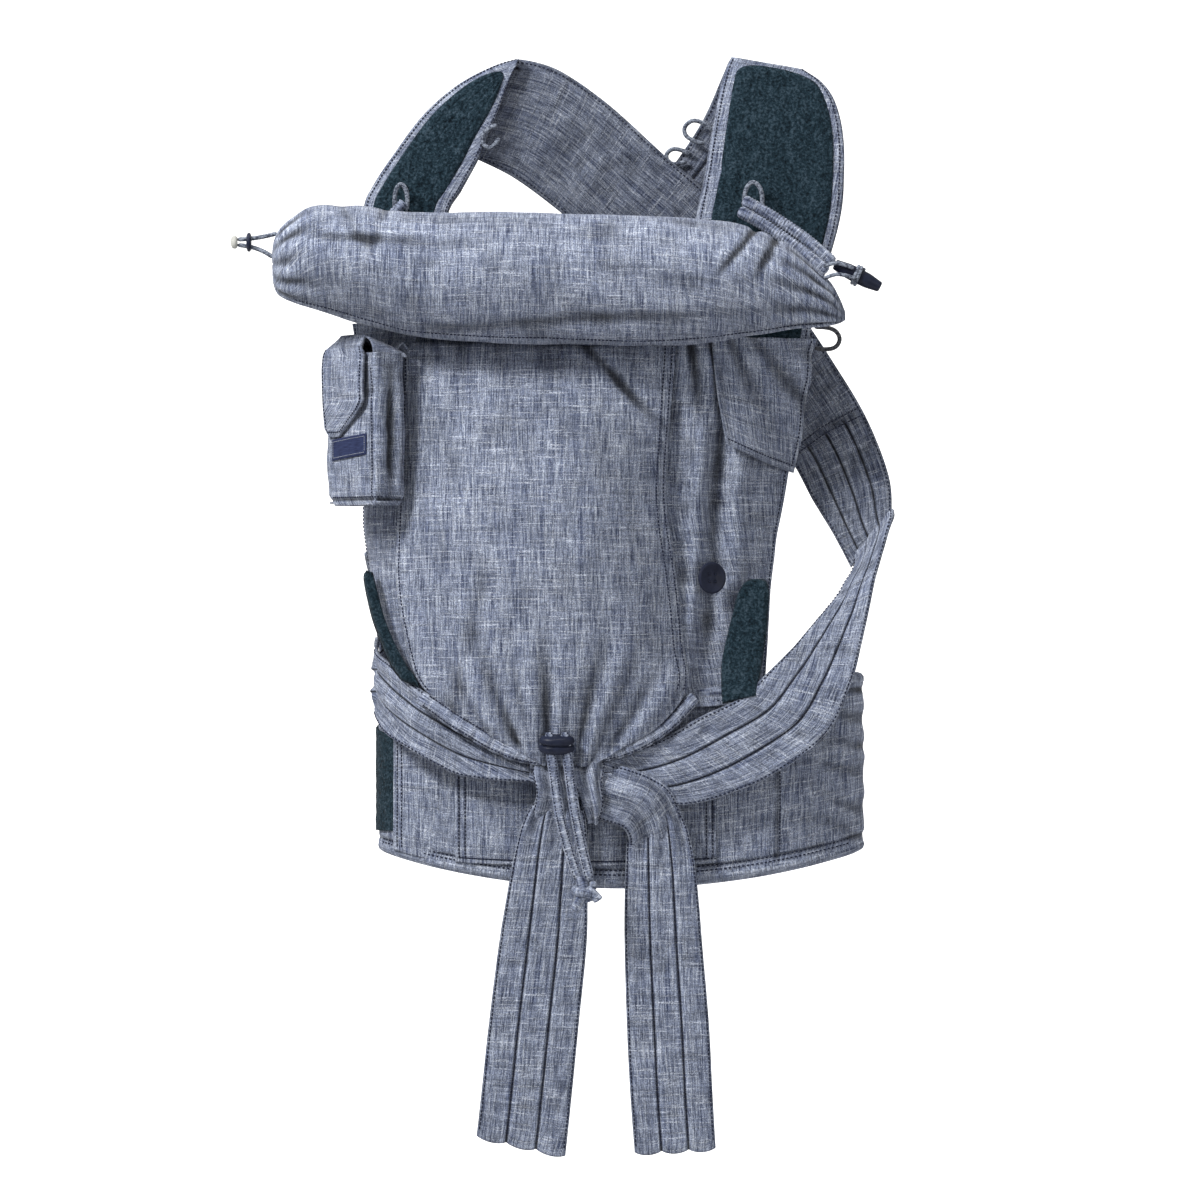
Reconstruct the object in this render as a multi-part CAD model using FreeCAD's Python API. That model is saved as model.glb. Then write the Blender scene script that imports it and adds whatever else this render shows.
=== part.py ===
import FreeCAD, Part
import math
import os

from FreeCAD import Rotation, Vector

# Soft baby carrier, as it hangs when worn: hip belt closed, shoulder straps crossed behind and knotted
# in front. Millimetres. +X is the viewer's right, +Y points to the wearer, +Z is up. The origin is the
# middle of the wearer's waist, inside the hip belt.

# ---------------------------------------------------------------- driving dimensions
FABRIC = 2.0            # a doubled woven layer
STRAP_THICK = 3.0       # a folded and stitched shoulder strap
SEAM_GAP = 0.8          # room left between soft pieces that are sewn side by side

BELT_CENTRE_X = 19.0
BELT_HALF_X = 222.0     # half width of the closed belt, outside
BELT_HALF_Y = 75.0      # half depth of the closed belt, outside
BELT_TOP_RIGHT = 92.0   # height of the belt's top edge at its right end
BELT_TOP_SLOPE = 0.0926  # the top edge falls towards the closure on the left
BELT_BOTTOM = -94.0     # lowest point of the curved bottom hem
BELT_HEM_RADIUS = 803.0
BELT_SHELL = 3.2
BELT_FOAM = 7.0
BELT_LINING = 2.0

ROLL_CENTRE_Y = -95.0
ROLL_SHELL = 3.0

PANEL_THICK = 4.0
PAD_THICK = 8.0

CORD_D = 4.0            # elastic cord of the loops and the head roll
CASING_D = 7.5          # cloth casing that the corner cords run in
SEAT_CORD_D = 8.0       # sewn tape cord of the seat drawcord
CORD_Y = -26.0          # plane of the corner loops, in front of the shoulder straps

BUTTON_D = 29.0
BUTTON_THICK = 4.0
BUTTON_HOLE_D = 2.4
BUTTON_HOLE_OFFSET = 3.2
THREAD_D = 1.6

TOGGLE_LENGTH = 46.0
TOGGLE_D = 14.0
TOGGLE_END_D = 9.5
TOGGLE_WAIST = 2.6      # half length of the groove that its loop sits in
TOGGLE_TILT = 27.0      # degrees below the horizontal

STOP_SLOT = Vector(8.0, 5.4, 14.4)   # slot through the head roll's cord stop: along, deep, high

POUCH_WIDTH = 75.0
POUCH_DEPTH = 33.0
POUCH_HEIGHT = 137.0
POUCH_WALL = 1.6
POUCH_RADIUS = 7.0
POUCH_YAW = 50.0        # degrees that its front is turned from the viewer to the left
POUCH_CORNER = Vector(-200.0, -110.0, 247.0)   # bottom of the corner nearest the viewer
POUCH_FLAP_DROP = 68.0
POUCH_FLAP_GAP = 1.6    # between the flap and the pouch's front
POUCH_FLAP_CUT = 18.0   # the flap's corners are cut off by this much

shapes = {}


def add(name, shape):
    shapes[name] = shape


# ---------------------------------------------------------------- construction helpers
def unit(vector):
    length = vector.Length
    return Vector(vector.x / length, vector.y / length, vector.z / length)


def polygon(points):
    return Part.makePolygon(list(points) + [points[0]])


def ribbon(rows, near=0.0, far=STRAP_THICK, inset=0.0, upright=False):
    """A strap or sheet. Each row is (x, z, x, z, y) of its two edges, or two 3-D edge points. The
    sheet lies between the distances near and far behind that surface, and its edges move in by inset.
    An upright sheet is measured straight along Y, so that its layers stay parallel."""
    edges = []
    for row in rows:
        if len(row) == 5:
            xa, za, xb, zb, y = row
            edges.append((Vector(xa, y, za), Vector(xb, y, zb)))
        else:
            edges.append(row)
    wires = []
    middles = [(a + b) * 0.5 for a, b in edges]
    for i, (a, b) in enumerate(edges):
        along = middles[min(i + 1, len(edges) - 1)] - middles[max(i - 1, 0)]
        across = unit(b - a)
        normal = unit(across.cross(along))
        if normal.y < 0:
            normal = normal * -1.0
        if upright:
            normal = Vector(0, 1, 0)
        a2 = a + across * inset
        b2 = b - across * inset
        to_near, to_far = normal * near, normal * far
        wires.append(polygon([a2 + to_near, b2 + to_near, b2 + to_far, a2 + to_far]))
    return Part.makeLoft(wires, True, False)


def bowed_sheet(rows, thickness):
    """A sheet that bows across. Each row is (z, x left, y left, x middle, y middle, x right, y right)
    of its outside; the inside lies thickness nearer the wearer."""
    wires = []
    for z, xl, yl, xm, ym, xr, yr in rows:
        left, middle, right = Vector(xl, yl, z), Vector(xm, ym, z), Vector(xr, yr, z)
        back = Vector(0, thickness, 0)
        front = Part.Arc(left, middle, right).toShape()
        rear = Part.Arc(right + back, middle + back, left + back).toShape()
        right_side = Part.LineSegment(right, right + back).toShape()
        left_side = Part.LineSegment(left + back, left).toShape()
        wires.append(Part.Wire([front, right_side, rear, left_side]))
    return Part.makeLoft(wires, True, False)


def cord(name, points, diameter):
    """A cord along straight runs joined by tangent arcs, each as large as its two runs allow. Prints
    the arcs' radii, and the tube's volume beside its section times its length."""
    points = [Vector(*p) for p in points]
    edges = []
    radii = []
    start = points[0]
    for before, corner, after in zip(points, points[1:], points[2:]):
        run_in, run_out = corner - before, after - corner
        turn = run_in.getAngle(run_out)
        reach = 0.45 * min(run_in.Length, run_out.Length)
        radii.append(reach / math.tan(turn / 2))
        arc_start = corner - unit(run_in) * reach
        arc_end = corner + unit(run_out) * reach
        bisector = unit(unit(run_out) - unit(run_in))
        middle = corner + bisector * (radii[-1] / math.cos(turn / 2) - radii[-1])
        edges.append(Part.LineSegment(start, arc_start).toShape())
        edges.append(Part.Arc(arc_start, middle, arc_end).toShape())
        start = arc_end
    edges.append(Part.LineSegment(start, points[-1]).toShape())
    path = Part.Wire(edges)
    section = Part.Wire(Part.Circle(points[0], points[1] - points[0], diameter / 2).toShape())
    tube = path.makePipeShell([section], True, False)
    expected = math.pi * diameter ** 2 / 4 * path.Length
    print(f"{name}: length {path.Length:.1f}, radii {[round(r, 1) for r in radii]}, "
          f"volume {tube.Volume:.0f} of {expected:.0f}")
    add(name, tube)


def revolved(profile, base, axis):
    """A body turned about an axis. The profile's points are (distance along the axis, radius)."""
    wire = polygon([Vector(along, radius, 0) for along, radius in profile])
    body = Part.Face(wire).revolve(Vector(0, 0, 0), Vector(1, 0, 0), 360)
    body.Placement = FreeCAD.Placement(base, Rotation(Vector(1, 0, 0), axis))
    return body


def cylinder(base, axis, diameter, length):
    return Part.makeCylinder(diameter / 2, length, base, axis)


# ---------------------------------------------------------------- hip belt
def belt_ring(outer_offset, inner_offset):
    """One layer of the closed belt: the ring between two offsets inside the belt's outer surface."""
    beyond = 300.0    # past the belt in every direction
    low = Vector(BELT_CENTRE_X, 0, BELT_BOTTOM - beyond / 2)
    faces = []
    for offset in (outer_offset, inner_offset):
        oval = Part.Ellipse(low, BELT_HALF_X - offset, BELT_HALF_Y - offset).toShape()
        faces.append(Part.Face(Part.Wire(oval)).extrude(Vector(0, 0, 2 * beyond)))
    ring = faces[0].cut(faces[1])
    hem_centre = Vector(BELT_CENTRE_X, -beyond, BELT_BOTTOM + BELT_HEM_RADIUS)
    above_hem = Part.makeCylinder(BELT_HEM_RADIUS, 2 * beyond, hem_centre, Vector(0, 1, 0))
    right_x = BELT_CENTRE_X + BELT_HALF_X
    left_x = BELT_CENTRE_X - BELT_HALF_X
    left_top = BELT_TOP_RIGHT - BELT_TOP_SLOPE * (right_x - left_x)
    below_top = polygon([
        Vector(left_x - beyond, -beyond, -beyond), Vector(right_x + beyond, -beyond, -beyond),
        Vector(right_x + beyond, -beyond, BELT_TOP_RIGHT + beyond * BELT_TOP_SLOPE),
        Vector(left_x - beyond, -beyond, left_top - beyond * BELT_TOP_SLOPE)])
    return ring.common(above_hem).common(Part.Face(below_top).extrude(Vector(0, 2 * beyond, 0)))


def front_patch(layer, x_range, y_range, z_range):
    box = Part.makeBox(x_range[1] - x_range[0], y_range[1] - y_range[0], z_range[1] - z_range[0],
                       Vector(x_range[0], y_range[0], z_range[0]))
    return layer.common(box)


def make_belt():
    gap = 0.2
    foam_start = BELT_SHELL + gap
    lining_start = foam_start + BELT_FOAM + gap
    add("belt_outer_cover", belt_ring(0, BELT_SHELL))
    add("belt_foam", belt_ring(foam_start, foam_start + BELT_FOAM))
    add("belt_lining", belt_ring(lining_start, lining_start + BELT_LINING))
    add("belt_pocket_patch", front_patch(belt_ring(-2.0, -0.4), (-131, 105), (-100, 0), (-76, 30)))
    add("belt_loop_tape", front_patch(belt_ring(-1.6, -0.4), (-210, -186), (-60, 12), (-47, 46)))


make_belt()


# ---------------------------------------------------------------- front panel and its wings
def make_panel():
    panel = [  # z, left x y, middle x y, right x y
        (384, -178, -66, -55, -78, 68, -66),
        (330, -179, -67, -57, -100, 64, -68),
        (254, -182, -68, -60, -122, 60, -69),
        (180, -184, -68, -56, -131, 70, -70),
        (120, -174, -68, -48, -132, 76, -72),
        (84, -160, -72, -42, -126, 78, -76)]
    add("centre_panel", bowed_sheet(panel, PANEL_THICK))
    gathered = [
        (83, -158, -75, -42, -125, 77, -79),
        (55, -112, -92, -38, -118, 50, -92),
        (32, -66, -103, -36, -110, 10, -102)]
    add("gathered_seat", bowed_sheet(gathered, PANEL_THICK))
    channel = [
        (-158, 80, -166, 70, -85), (-116, 53, -124, 41, -99), (-68, 29, -74, 17, -104),
        (-22, 27, -20, 15, -105), (20, 33, 24, 22, -103), (55, 52, 61, 42, -93), (81, 79, 90, 70, -80)]
    add("drawcord_channel", ribbon(channel, 0, 5))
    add("side_wing_left", bowed_sheet([
        (282, -183.5, -67, -204, -36, -216, -8), (214, -186, -66, -204, -36, -214, -8),
        (150, -182, -66, -194, -38, -201, -10), (98, -169, -66, -178, -48, -186, -28)], FABRIC))
    add("shoulder_wing_left", bowed_sheet([
        (384, -180.5, -66, -204, -36, -222, -8), (283, -184, -67, -204, -36, -216, -8)], FABRIC))
    add("side_wing_right", bowed_sheet([
        (282, 63, -70, 121, -44, 172, -10), (245, 62.5, -70, 117, -42, 166, -10),
        (195, 70.5, -71, 116, -42, 158, -12), (126, 78.5, -73, 116, -44, 153, -18),
        (86, 80.5, -77, 116, -52, 150, -28)], FABRIC))
    add("shoulder_wing_right", bowed_sheet([
        (384, 71, -66, 136, -44, 192, -14), (340, 67.5, -68, 130, -46, 185, -12),
        (283, 64.5, -70, 121, -46, 173, -11)], FABRIC))
    add("leg_pad_left", ribbon([
        (-214, 182, -201, 172, -32), (-206, 145, -194, 135, -40), (-192, 108, -178, 101, -54)],
        -PAD_THICK - 12, -12))
    add("leg_pad_right", ribbon([
        (130, 170, 152, 172, -46), (121, 140, 151, 142, -50), (111, 110, 147, 112, -60),
        (109, 72, 141, 78, -73)], -PAD_THICK + 2, 2))
    add("hood_flap", ribbon([
        (Vector(-176, -58, 388), Vector(66, -58, 388)), (Vector(-178, -45, 405), Vector(70, -45, 405)),
        (Vector(-180, -34, 440), Vector(100, -34, 440)), (Vector(-180, -33, 500), Vector(110, -33, 500))],
        0, 1.6))


# ---------------------------------------------------------------- rolled head support
ROLL_STATIONS = [  # x, z, radius of the closed roll
    (-294, 456, 20), (-286, 457, 34), (-262, 457, 44), (-200, 456, 52), (-110, 453, 56), (-45, 450, 57),
    (68, 448, 56), (127, 446, 51), (172, 444, 40), (201, 437, 24), (216, 428, 13)]


def roll_body(shrink, ends_in):
    wires = []
    for x, z, radius in ROLL_STATIONS:
        centre = Vector(min(max(x, ROLL_STATIONS[0][0] + ends_in), ROLL_STATIONS[-1][0] - ends_in),
                        ROLL_CENTRE_Y, z)
        wires.append(Part.Wire(Part.Circle(centre, Vector(1, 0, 0), radius - shrink).toShape()))
    return Part.makeLoft(wires, True, False)


def make_head_roll():
    core = roll_body(ROLL_SHELL, 3.0)
    add("head_roll_cover", roll_body(0, 0).cut(roll_body(ROLL_SHELL - 0.3, 2.7)))
    add("head_roll_padding", core)


# ---------------------------------------------------------------- shoulder straps
LEFT_RISE = [(-222, 412, -140, 396, -13), (-219, 470, -142, 466, -10), (-216, 519, -139, 514, -8),
             (-206, 541, -126, 537, -6), (-186, 572, -112, 562, -4), (-156, 609, -106, 578, -2),
             (-121, 636, -101, 596, 0), (-84, 656, -92, 622, 2)]
RIGHT_RISE = [(92, 392, 186, 390, -13), (80, 440, 200, 440, -10), (86, 503, 219, 509, -8),
              (94, 543, 223, 551, -6), (102, 585, 221, 588, -4), (110, 625, 209, 616, -2),
              (118, 655, 190, 634, 0)]
LEFT_REAR = [(-72, 655, -108, 568, 14), (-36, 647, -80, 550, 20), (8, 617, -46, 526, 25),
             (56, 574, -8, 494, 29), (96, 540, 26, 460, 33)]
LEFT_CROSSING = [(97, 539, 27, 459, 33.3), (135, 495, 66, 420, 36), (175, 440, 108, 365, 39),
                 (211, 387, 145, 325, 38), (245, 330, 176, 290, 34), (265, 277, 195, 255, 24),
                 (267, 244, 212, 226, 10), (265, 236, 229, 192, -1)]
LEFT_FRONT = [(263, 226, 227, 188, -14), (250, 186, 214, 166, -26), (243, 155, 198, 147, -40),
              (235, 122, 175, 120, -62), (224, 86, 150, 95, -79), (203, 42, 125, 73, -85),
              (160, 7, 88, 55, -84), (118, -12, 57, 35, -81)]
RIGHT_REAR = [(116, 650, 196, 622, 38), (94, 603, 178, 558, 43), (62, 555, 135, 505, 46),
              (20, 500, 92, 445, 48)]
RIGHT_CROSSING = [(19, 499, 91, 444, 48), (-30, 435, 42, 380, 50), (-80, 365, -10, 310, 50),
                  (-125, 295, -58, 243, 49), (-165, 225, -104, 170, 46), (-190, 165, -150, 98, 36),
                  (-203, 128, -199, 62, 10)]
RIGHT_FRONT = [(-204, 126, -206, 60, 0), (-204, 115, -207, 57, -20), (-190, 102, -196, 44, -52),
               (-166, 84, -176, 30, -70), (-131, 62, -131, 7, -83), (-106, 38, -110, 1, -85)]

COVER = (8.0, 10.5)     # depth range of each layer of a padded strap behind its face
FOAM = (3.2, 7.4)
LINING = (0.0, 2.2)
LINING_INSET = 11.0


def fold_over():
    """The half turn where the right strap goes over the shoulder, from its front edge to its rear."""
    start_a, start_b = Vector(118, 0, 661), Vector(192, 0, 640)
    middle_y, reach_y, height = 19.0, 16.0, 9.0
    outside = []
    for angle in (0, 45, 90, 135, 180):
        lift = height * math.sin(math.radians(angle))
        shift = Vector(0.4 * lift, middle_y - reach_y * math.cos(math.radians(angle)), lift)
        outside.append((start_a + shift, start_b + shift))
    lower = Vector(-0.4, 0, -1) * STRAP_THICK
    outline_a = [a for a, b in outside] + [a + lower for a, b in reversed(outside)]
    outline_b = [b for a, b in outside] + [b + lower for a, b in reversed(outside)]
    return Part.makeLoft([polygon(outline_a), polygon(outline_b)], True, True)


def make_straps():
    for side, rise, rear, crossing, front in (
            ("left", LEFT_RISE, LEFT_REAR, LEFT_CROSSING, LEFT_FRONT),
            ("right", RIGHT_RISE, RIGHT_REAR, RIGHT_CROSSING, RIGHT_FRONT)):
        add(f"strap_{side}_cover", ribbon(rise, *COVER, upright=True))
        add(f"strap_{side}_foam", ribbon(rise, *FOAM, inset=3, upright=True))
        add(f"strap_{side}_lining", ribbon(rise, *LINING, inset=LINING_INSET, upright=True))
        add(f"strap_{side}_rear", ribbon(rear))
        add(f"strap_{side}_crossing", ribbon(crossing))
        add(f"strap_{side}_front", ribbon(front))
    add("strap_right_fold", fold_over())


# ---------------------------------------------------------------- knot and strap tails
TAIL_Y = -91.0          # the tails hang between the crossing straps and the knot
KNOT_Y = -105.5


def make_knot_and_tails():
    knot = [  # x, z, half height, half depth of the flattened knot
        (-64, -8, 10, 5), (-42, -12, 18, 10), (-10, -13, 23, 12), (22, -13, 23, 12), (44, -10, 17, 9),
        (56, -6, 10, 6)]
    wires = []
    for x, z, half_height, half_depth in knot:
        wire = Part.Wire(Part.Ellipse(Vector(0, 0, 0), half_height, half_depth).toShape())
        turned = Rotation(Vector(0, 0, 1), Vector(1, 0, 0))
        wire.Placement = FreeCAD.Placement(Vector(x, KNOT_Y, z), turned)
        wires.append(wire)
    add("strap_knot", Part.makeLoft(wires, True, False))
    tails = {  # the two edges of each half tail: x, z, x, z
        "tail_left_upper": [(-62, -30, -14, -30), (-79, -75, -11, -75), (-90, -146, -12, -146)],
        "tail_left_end": [(-90.2, -148, -12.2, -148), (-100, -219, -19, -219), (-111, -322, -31, -336)],
        "tail_right_upper": [(26, -30, 72, -30), (22.5, -75, 85, -75), (22.5, -146, 92, -146)],
        "tail_right_end": [(22.6, -148, 92.2, -148), (24, -219, 98, -219), (30, -336, 103, -332)]}
    for name, edges in tails.items():
        add(name, ribbon([(*edge, TAIL_Y) for edge in edges]))


# ---------------------------------------------------------------- button
def make_button():
    outward = unit(Vector(0.5, -0.86, 0))
    centre = Vector(100, -60, 182)
    radius = BUTTON_D / 2
    profile = [(0, 0), (0, radius - 4.5), (1, radius - 1), (2.2, radius), (3.4, radius - 0.4),
               (BUTTON_THICK, radius - 2), (BUTTON_THICK - 0.8, radius - 4), (BUTTON_THICK - 1.2, 0)]
    button = revolved(profile, centre, outward)
    across = unit(outward.cross(Vector(0, 0, 1)))
    threads = []
    for side in (-1, 1):
        for up in (-1, 1):
            at = centre + across * (side * BUTTON_HOLE_OFFSET) + Vector(0, 0, up * BUTTON_HOLE_OFFSET)
            button = button.cut(cylinder(at - outward, outward, BUTTON_HOLE_D, 10))
            threads.append(cylinder(at - outward * 4, outward, THREAD_D, BUTTON_THICK + 3.4))
    add("seat_width_button", button)
    add("button_thread", Part.makeCompound(threads))


# ---------------------------------------------------------------- fittings on the head roll
ROLL_CORD_UPPER = [(-290, -95, 491), (-307, -95, 486), (-325.2, -95, 485.5)]
ROLL_CORD_LOWER = [(-295.4, -95, 471), (-306, -95, 479.3), (-325.2, -95, 480.5)]
TOGGLE_CENTRE = Vector(231, -96, 453)


def make_roll_fittings():
    cord("roll_cord_upper", ROLL_CORD_UPPER, CORD_D)
    cord("roll_cord_lower", ROLL_CORD_LOWER, CORD_D)
    cord_axis = Vector(1, 0, 0)
    stop_middle = Vector(-315, -95, 483)
    stop_profile = [(-2, 0), (-2, 7), (-1, 8.5), (1, 8.5), (2, 7), (2, 0)]
    slot = Part.makeBox(*STOP_SLOT, stop_middle - STOP_SLOT / 2)
    add("roll_cord_stop", revolved(stop_profile, stop_middle, cord_axis).cut(slot))
    end_profile = [(0, 0), (0, 3.5), (1.2, 5.6), (4, 6), (5.6, 4.6), (5.6, 0)]
    add("roll_cord_end", revolved(end_profile, Vector(-331, -95, 483), cord_axis))
    along = unit(Vector(math.cos(math.radians(TOGGLE_TILT)), 0, -math.sin(math.radians(TOGGLE_TILT))))
    half, body, end = TOGGLE_LENGTH / 2, TOGGLE_D / 2, TOGGLE_END_D / 2
    tapering = [(TOGGLE_WAIST, body), (half * 0.45, body - 0.3), (half - 1, end), (half, end - 1)]
    waist = [(-TOGGLE_WAIST + 0.1, body - 1.2), (TOGGLE_WAIST - 0.1, body - 1.2)]
    left_half = [(-x, radius) for x, radius in reversed(tapering)]
    recess = [(half, 2), (half - 8, 2), (half - 8, 0)]
    profile = [(-half, 0)] + left_half + waist + tapering + recess
    add("roll_toggle", revolved(profile, TOGGLE_CENTRE, along))
    add("toggle_loop", Part.makeTorus(body + 1.1, 1.5, TOGGLE_CENTRE, along))


# ---------------------------------------------------------------- loops of elastic cord on the harness
CORD_ROUTES = {
    "corner_loop_left": [(-186, CORD_Y, 516), (-188, CORD_Y, 531), (-181, CORD_Y, 543),
                         (-174, CORD_Y, 531), (-176, CORD_Y, 516)],
    "corner_loop_right": [(132, CORD_Y, 518), (130, CORD_Y, 532), (139, CORD_Y, 545),
                          (149, CORD_Y, 533), (147, CORD_Y, 518)],
    "strap_loop_left": [(-92, -5, 584), (-98, -5, 573), (-108, -5, 578), (-106, -5, 592), (-94, -5, 596)],
    "strap_loop_upper": [(104, 33, 594), (90, 33, 606), (76, 33, 598), (80, 33, 585), (96, 33, 582)],
    "strap_loop_lower": [(84, 39, 572), (70, 39, 580), (59, 39, 572), (66, 39, 561), (80, 39, 566)],
    "side_loop": [(196, -6, 411), (212, -6, 412), (221, -6, 400), (212, -6, 389), (196, -6, 392)]}


def make_cord_loops():
    for name, route in CORD_ROUTES.items():
        cord(name, route, CORD_D)
    runs = [(Vector(-196, CORD_Y, 497), Vector(15, 0, 17), 22.7),
            (Vector(132, CORD_Y, 504), Vector(68, 0, -48), 78),
            (Vector(138, CORD_Y, 513), Vector(68, 0, -48), 78)]
    casings = [cylinder(start, along, CASING_D, length) for start, along, length in runs]
    add("corner_casings", Part.makeCompound(casings))


# ---------------------------------------------------------------- seat drawcord and its lock
SEAT_CORDS = {
    "seat_cord_left": [(-46, -126, 44), (-38.5, -126, -16), (-32, -126, -50), (-19, -126, -88)],
    "seat_cord_right": [(-32, -126, 44), (-24.5, -126, -16), (-18, -126, -52), (-9, -126, -88)]}
LOCK_CENTRE = Vector(-37.3, -126, 32)
LOCK_SIZE = (34.0, 22.0)
LOCK_PLATE = 5.2        # thickness of its top and bottom plates
LOCK_NECK = 3.6         # thickness of the waist between them
LOCK_HOLE_OFFSET = 7.0


def make_seat_drawcord():
    for name, route in SEAT_CORDS.items():
        cord(name, route, SEAT_CORD_D)
    layers = []
    bottom = -LOCK_PLATE - LOCK_NECK / 2
    for height, scale in ((LOCK_PLATE, 1.0), (LOCK_NECK, 0.86), (LOCK_PLATE, 1.0)):
        oval = Part.Ellipse(Vector(0, 0, bottom), LOCK_SIZE[0] / 2 * scale, LOCK_SIZE[1] / 2 * scale)
        layers.append(Part.Face(Part.Wire(oval.toShape())).extrude(Vector(0, 0, height)))
        bottom += height
    lock = layers[0].fuse(layers[1:]).removeSplitter()
    for side in (-1, 1):
        start = Vector(side * LOCK_HOLE_OFFSET, 0, -20)
        lock = lock.cut(cylinder(start, Vector(0, 0, 1), SEAT_CORD_D + SEAM_GAP, 40))
    along_cords = Vector(*SEAT_CORDS["seat_cord_left"][0]) - Vector(*SEAT_CORDS["seat_cord_left"][1])
    lock.Placement = FreeCAD.Placement(LOCK_CENTRE, Rotation(Vector(0, 0, 1), along_cords))
    add("seat_cord_lock", lock)
    add("seat_cord_knot", Part.makeSphere(11, Vector(-14, -126, -100.5)))


# ---------------------------------------------------------------- hanging pouch
def pouch_placed(shape):
    """From the pouch's own frame (x along its width from the near corner, y into its depth) to the
    carrier's."""
    shape.Placement = FreeCAD.Placement(POUCH_CORNER, Rotation(Vector(0, 0, 1), -POUCH_YAW))
    return shape


def pouch_box(x, y, z, size_x, size_y, size_z):
    return Part.makeBox(size_x, size_y, size_z, Vector(x, y, z))


def round_upright_edges(box, radius):
    upright = [edge for edge in box.Edges if abs(edge.tangentAt(edge.FirstParameter).z) > 0.99]
    return box.makeFillet(radius, upright)


def make_pouch_flap(width, height):
    bottom = height - POUCH_FLAP_DROP
    front = -POUCH_FLAP_GAP - FABRIC
    flap = pouch_box(1 - width, front, bottom, width - 2, FABRIC, POUCH_FLAP_DROP - SEAM_GAP)
    start = Vector(-width, front - 1, bottom - 1)
    along, up = Vector(POUCH_FLAP_CUT, 0, 0), Vector(0, 0, POUCH_FLAP_CUT)
    corner = Part.Face(polygon([start, start + along, start + up])).extrude(Vector(0, FABRIC + 2, 0))
    other_corner = corner.mirror(Vector(-width / 2, 0, 0), Vector(1, 0, 0))
    return flap.cut(corner).cut(other_corner)


def make_pouch():
    width, depth, height, wall = POUCH_WIDTH, POUCH_DEPTH, POUCH_HEIGHT, POUCH_WALL
    outer = round_upright_edges(pouch_box(-width, 0, 0, width, depth, height), POUCH_RADIUS)
    hollow = pouch_box(wall - width, wall, wall, width - 2 * wall, depth - 2 * wall, height)
    inner = round_upright_edges(hollow, POUCH_RADIUS - wall)
    flap_out = POUCH_FLAP_GAP + FABRIC
    flap_root = pouch_box(1 - width, -flap_out, height + 0.6, width - 2, depth + flap_out, FABRIC)
    hangers = [pouch_box(x - width, depth - 2, height + 3, 12, 1.6, 8) for x in (10, 53)]
    pieces = {
        "pouch_shell": outer.cut(inner),
        "pouch_flap": make_pouch_flap(width, height),
        "pouch_flap_root": flap_root,
        "pouch_closure_tape": pouch_box(-width / 2 - 12, -1.1, 92, 24, 1.0, 30),
        "pouch_label": pouch_box(-width / 2 - 26, -0.9, 42, 52, 0.8, 20),
        "pouch_hanger_tabs": Part.makeCompound(hangers)}
    for name, shape in pieces.items():
        add(name, pouch_placed(shape))


for make in (make_panel, make_head_roll, make_straps, make_knot_and_tails, make_button,
             make_roll_fittings, make_cord_loops, make_seat_drawcord, make_pouch):
    make()

os.makedirs("parts", exist_ok=True)
for name, shape in shapes.items():
    if not shape.isValid() or not shape.Solids:
        print("check", name, shape.isValid(), len(shape.Solids))
    shape.exportStep(f"parts/{name}.step")
print(len(shapes), "nodes")
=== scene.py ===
import bmesh
import bpy
import math

import numpy as np
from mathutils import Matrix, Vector, noise


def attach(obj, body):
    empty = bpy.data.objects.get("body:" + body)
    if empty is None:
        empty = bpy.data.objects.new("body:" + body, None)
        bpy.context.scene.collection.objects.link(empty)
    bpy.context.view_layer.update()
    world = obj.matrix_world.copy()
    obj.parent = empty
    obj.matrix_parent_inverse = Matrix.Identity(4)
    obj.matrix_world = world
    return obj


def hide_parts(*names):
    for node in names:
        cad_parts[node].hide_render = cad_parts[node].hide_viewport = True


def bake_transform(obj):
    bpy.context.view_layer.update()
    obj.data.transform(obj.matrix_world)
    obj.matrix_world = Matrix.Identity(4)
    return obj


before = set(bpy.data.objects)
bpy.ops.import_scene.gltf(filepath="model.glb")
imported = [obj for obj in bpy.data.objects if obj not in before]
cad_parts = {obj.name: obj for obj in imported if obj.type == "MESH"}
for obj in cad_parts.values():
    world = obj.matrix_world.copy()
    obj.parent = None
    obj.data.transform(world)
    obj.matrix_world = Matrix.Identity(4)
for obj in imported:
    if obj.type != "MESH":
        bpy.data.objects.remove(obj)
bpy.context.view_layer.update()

MM = 0.001

# ---------------------------------------------------------------- camera, lights and backdrop
VIEW_WIDTH = 1.08        # metres of the object's middle plane that the frame shows
MIDDLE_PLANE_Y = -0.08
CAMERA_Z = 0.162
LENS_MM = 170.0
SENSOR_MM = 36.0


def make_camera():
    data = bpy.data.cameras.new("camera")
    data.lens = LENS_MM
    data.sensor_width = SENSOR_MM
    data.clip_end = 20
    camera = bpy.data.objects.new("camera", data)
    bpy.context.collection.objects.link(camera)
    distance = VIEW_WIDTH * LENS_MM / SENSOR_MM
    camera.location = (0, MIDDLE_PLANE_Y - distance, CAMERA_Z)
    camera.rotation_euler = (math.radians(90), 0, 0)
    bpy.context.scene.camera = camera


def area_light(name, place, target, size, power):
    data = bpy.data.lights.new(name, "AREA")
    data.shape = "DISK"
    data.size = size
    data.energy = power
    light = bpy.data.objects.new(name, data)
    bpy.context.collection.objects.link(light)
    light.location = place
    aim = Vector(target) - Vector(place)
    light.rotation_euler = aim.to_track_quat("-Z", "Y").to_euler()


LIGHTS = {  # place, target, size in metres, power in watts
    "key": ((-1.7, -1.7, 1.9), (0, 0, 0.15), 0.7, 106),
    "fill": ((1.9, -2.2, 0.7), (0, 0, 0.15), 1.8, 12),
    "top": ((0.2, -0.4, 2.2), (0, 0, 0.2), 1.2, 20)}
WORLD_LIGHT = 0.47


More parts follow.
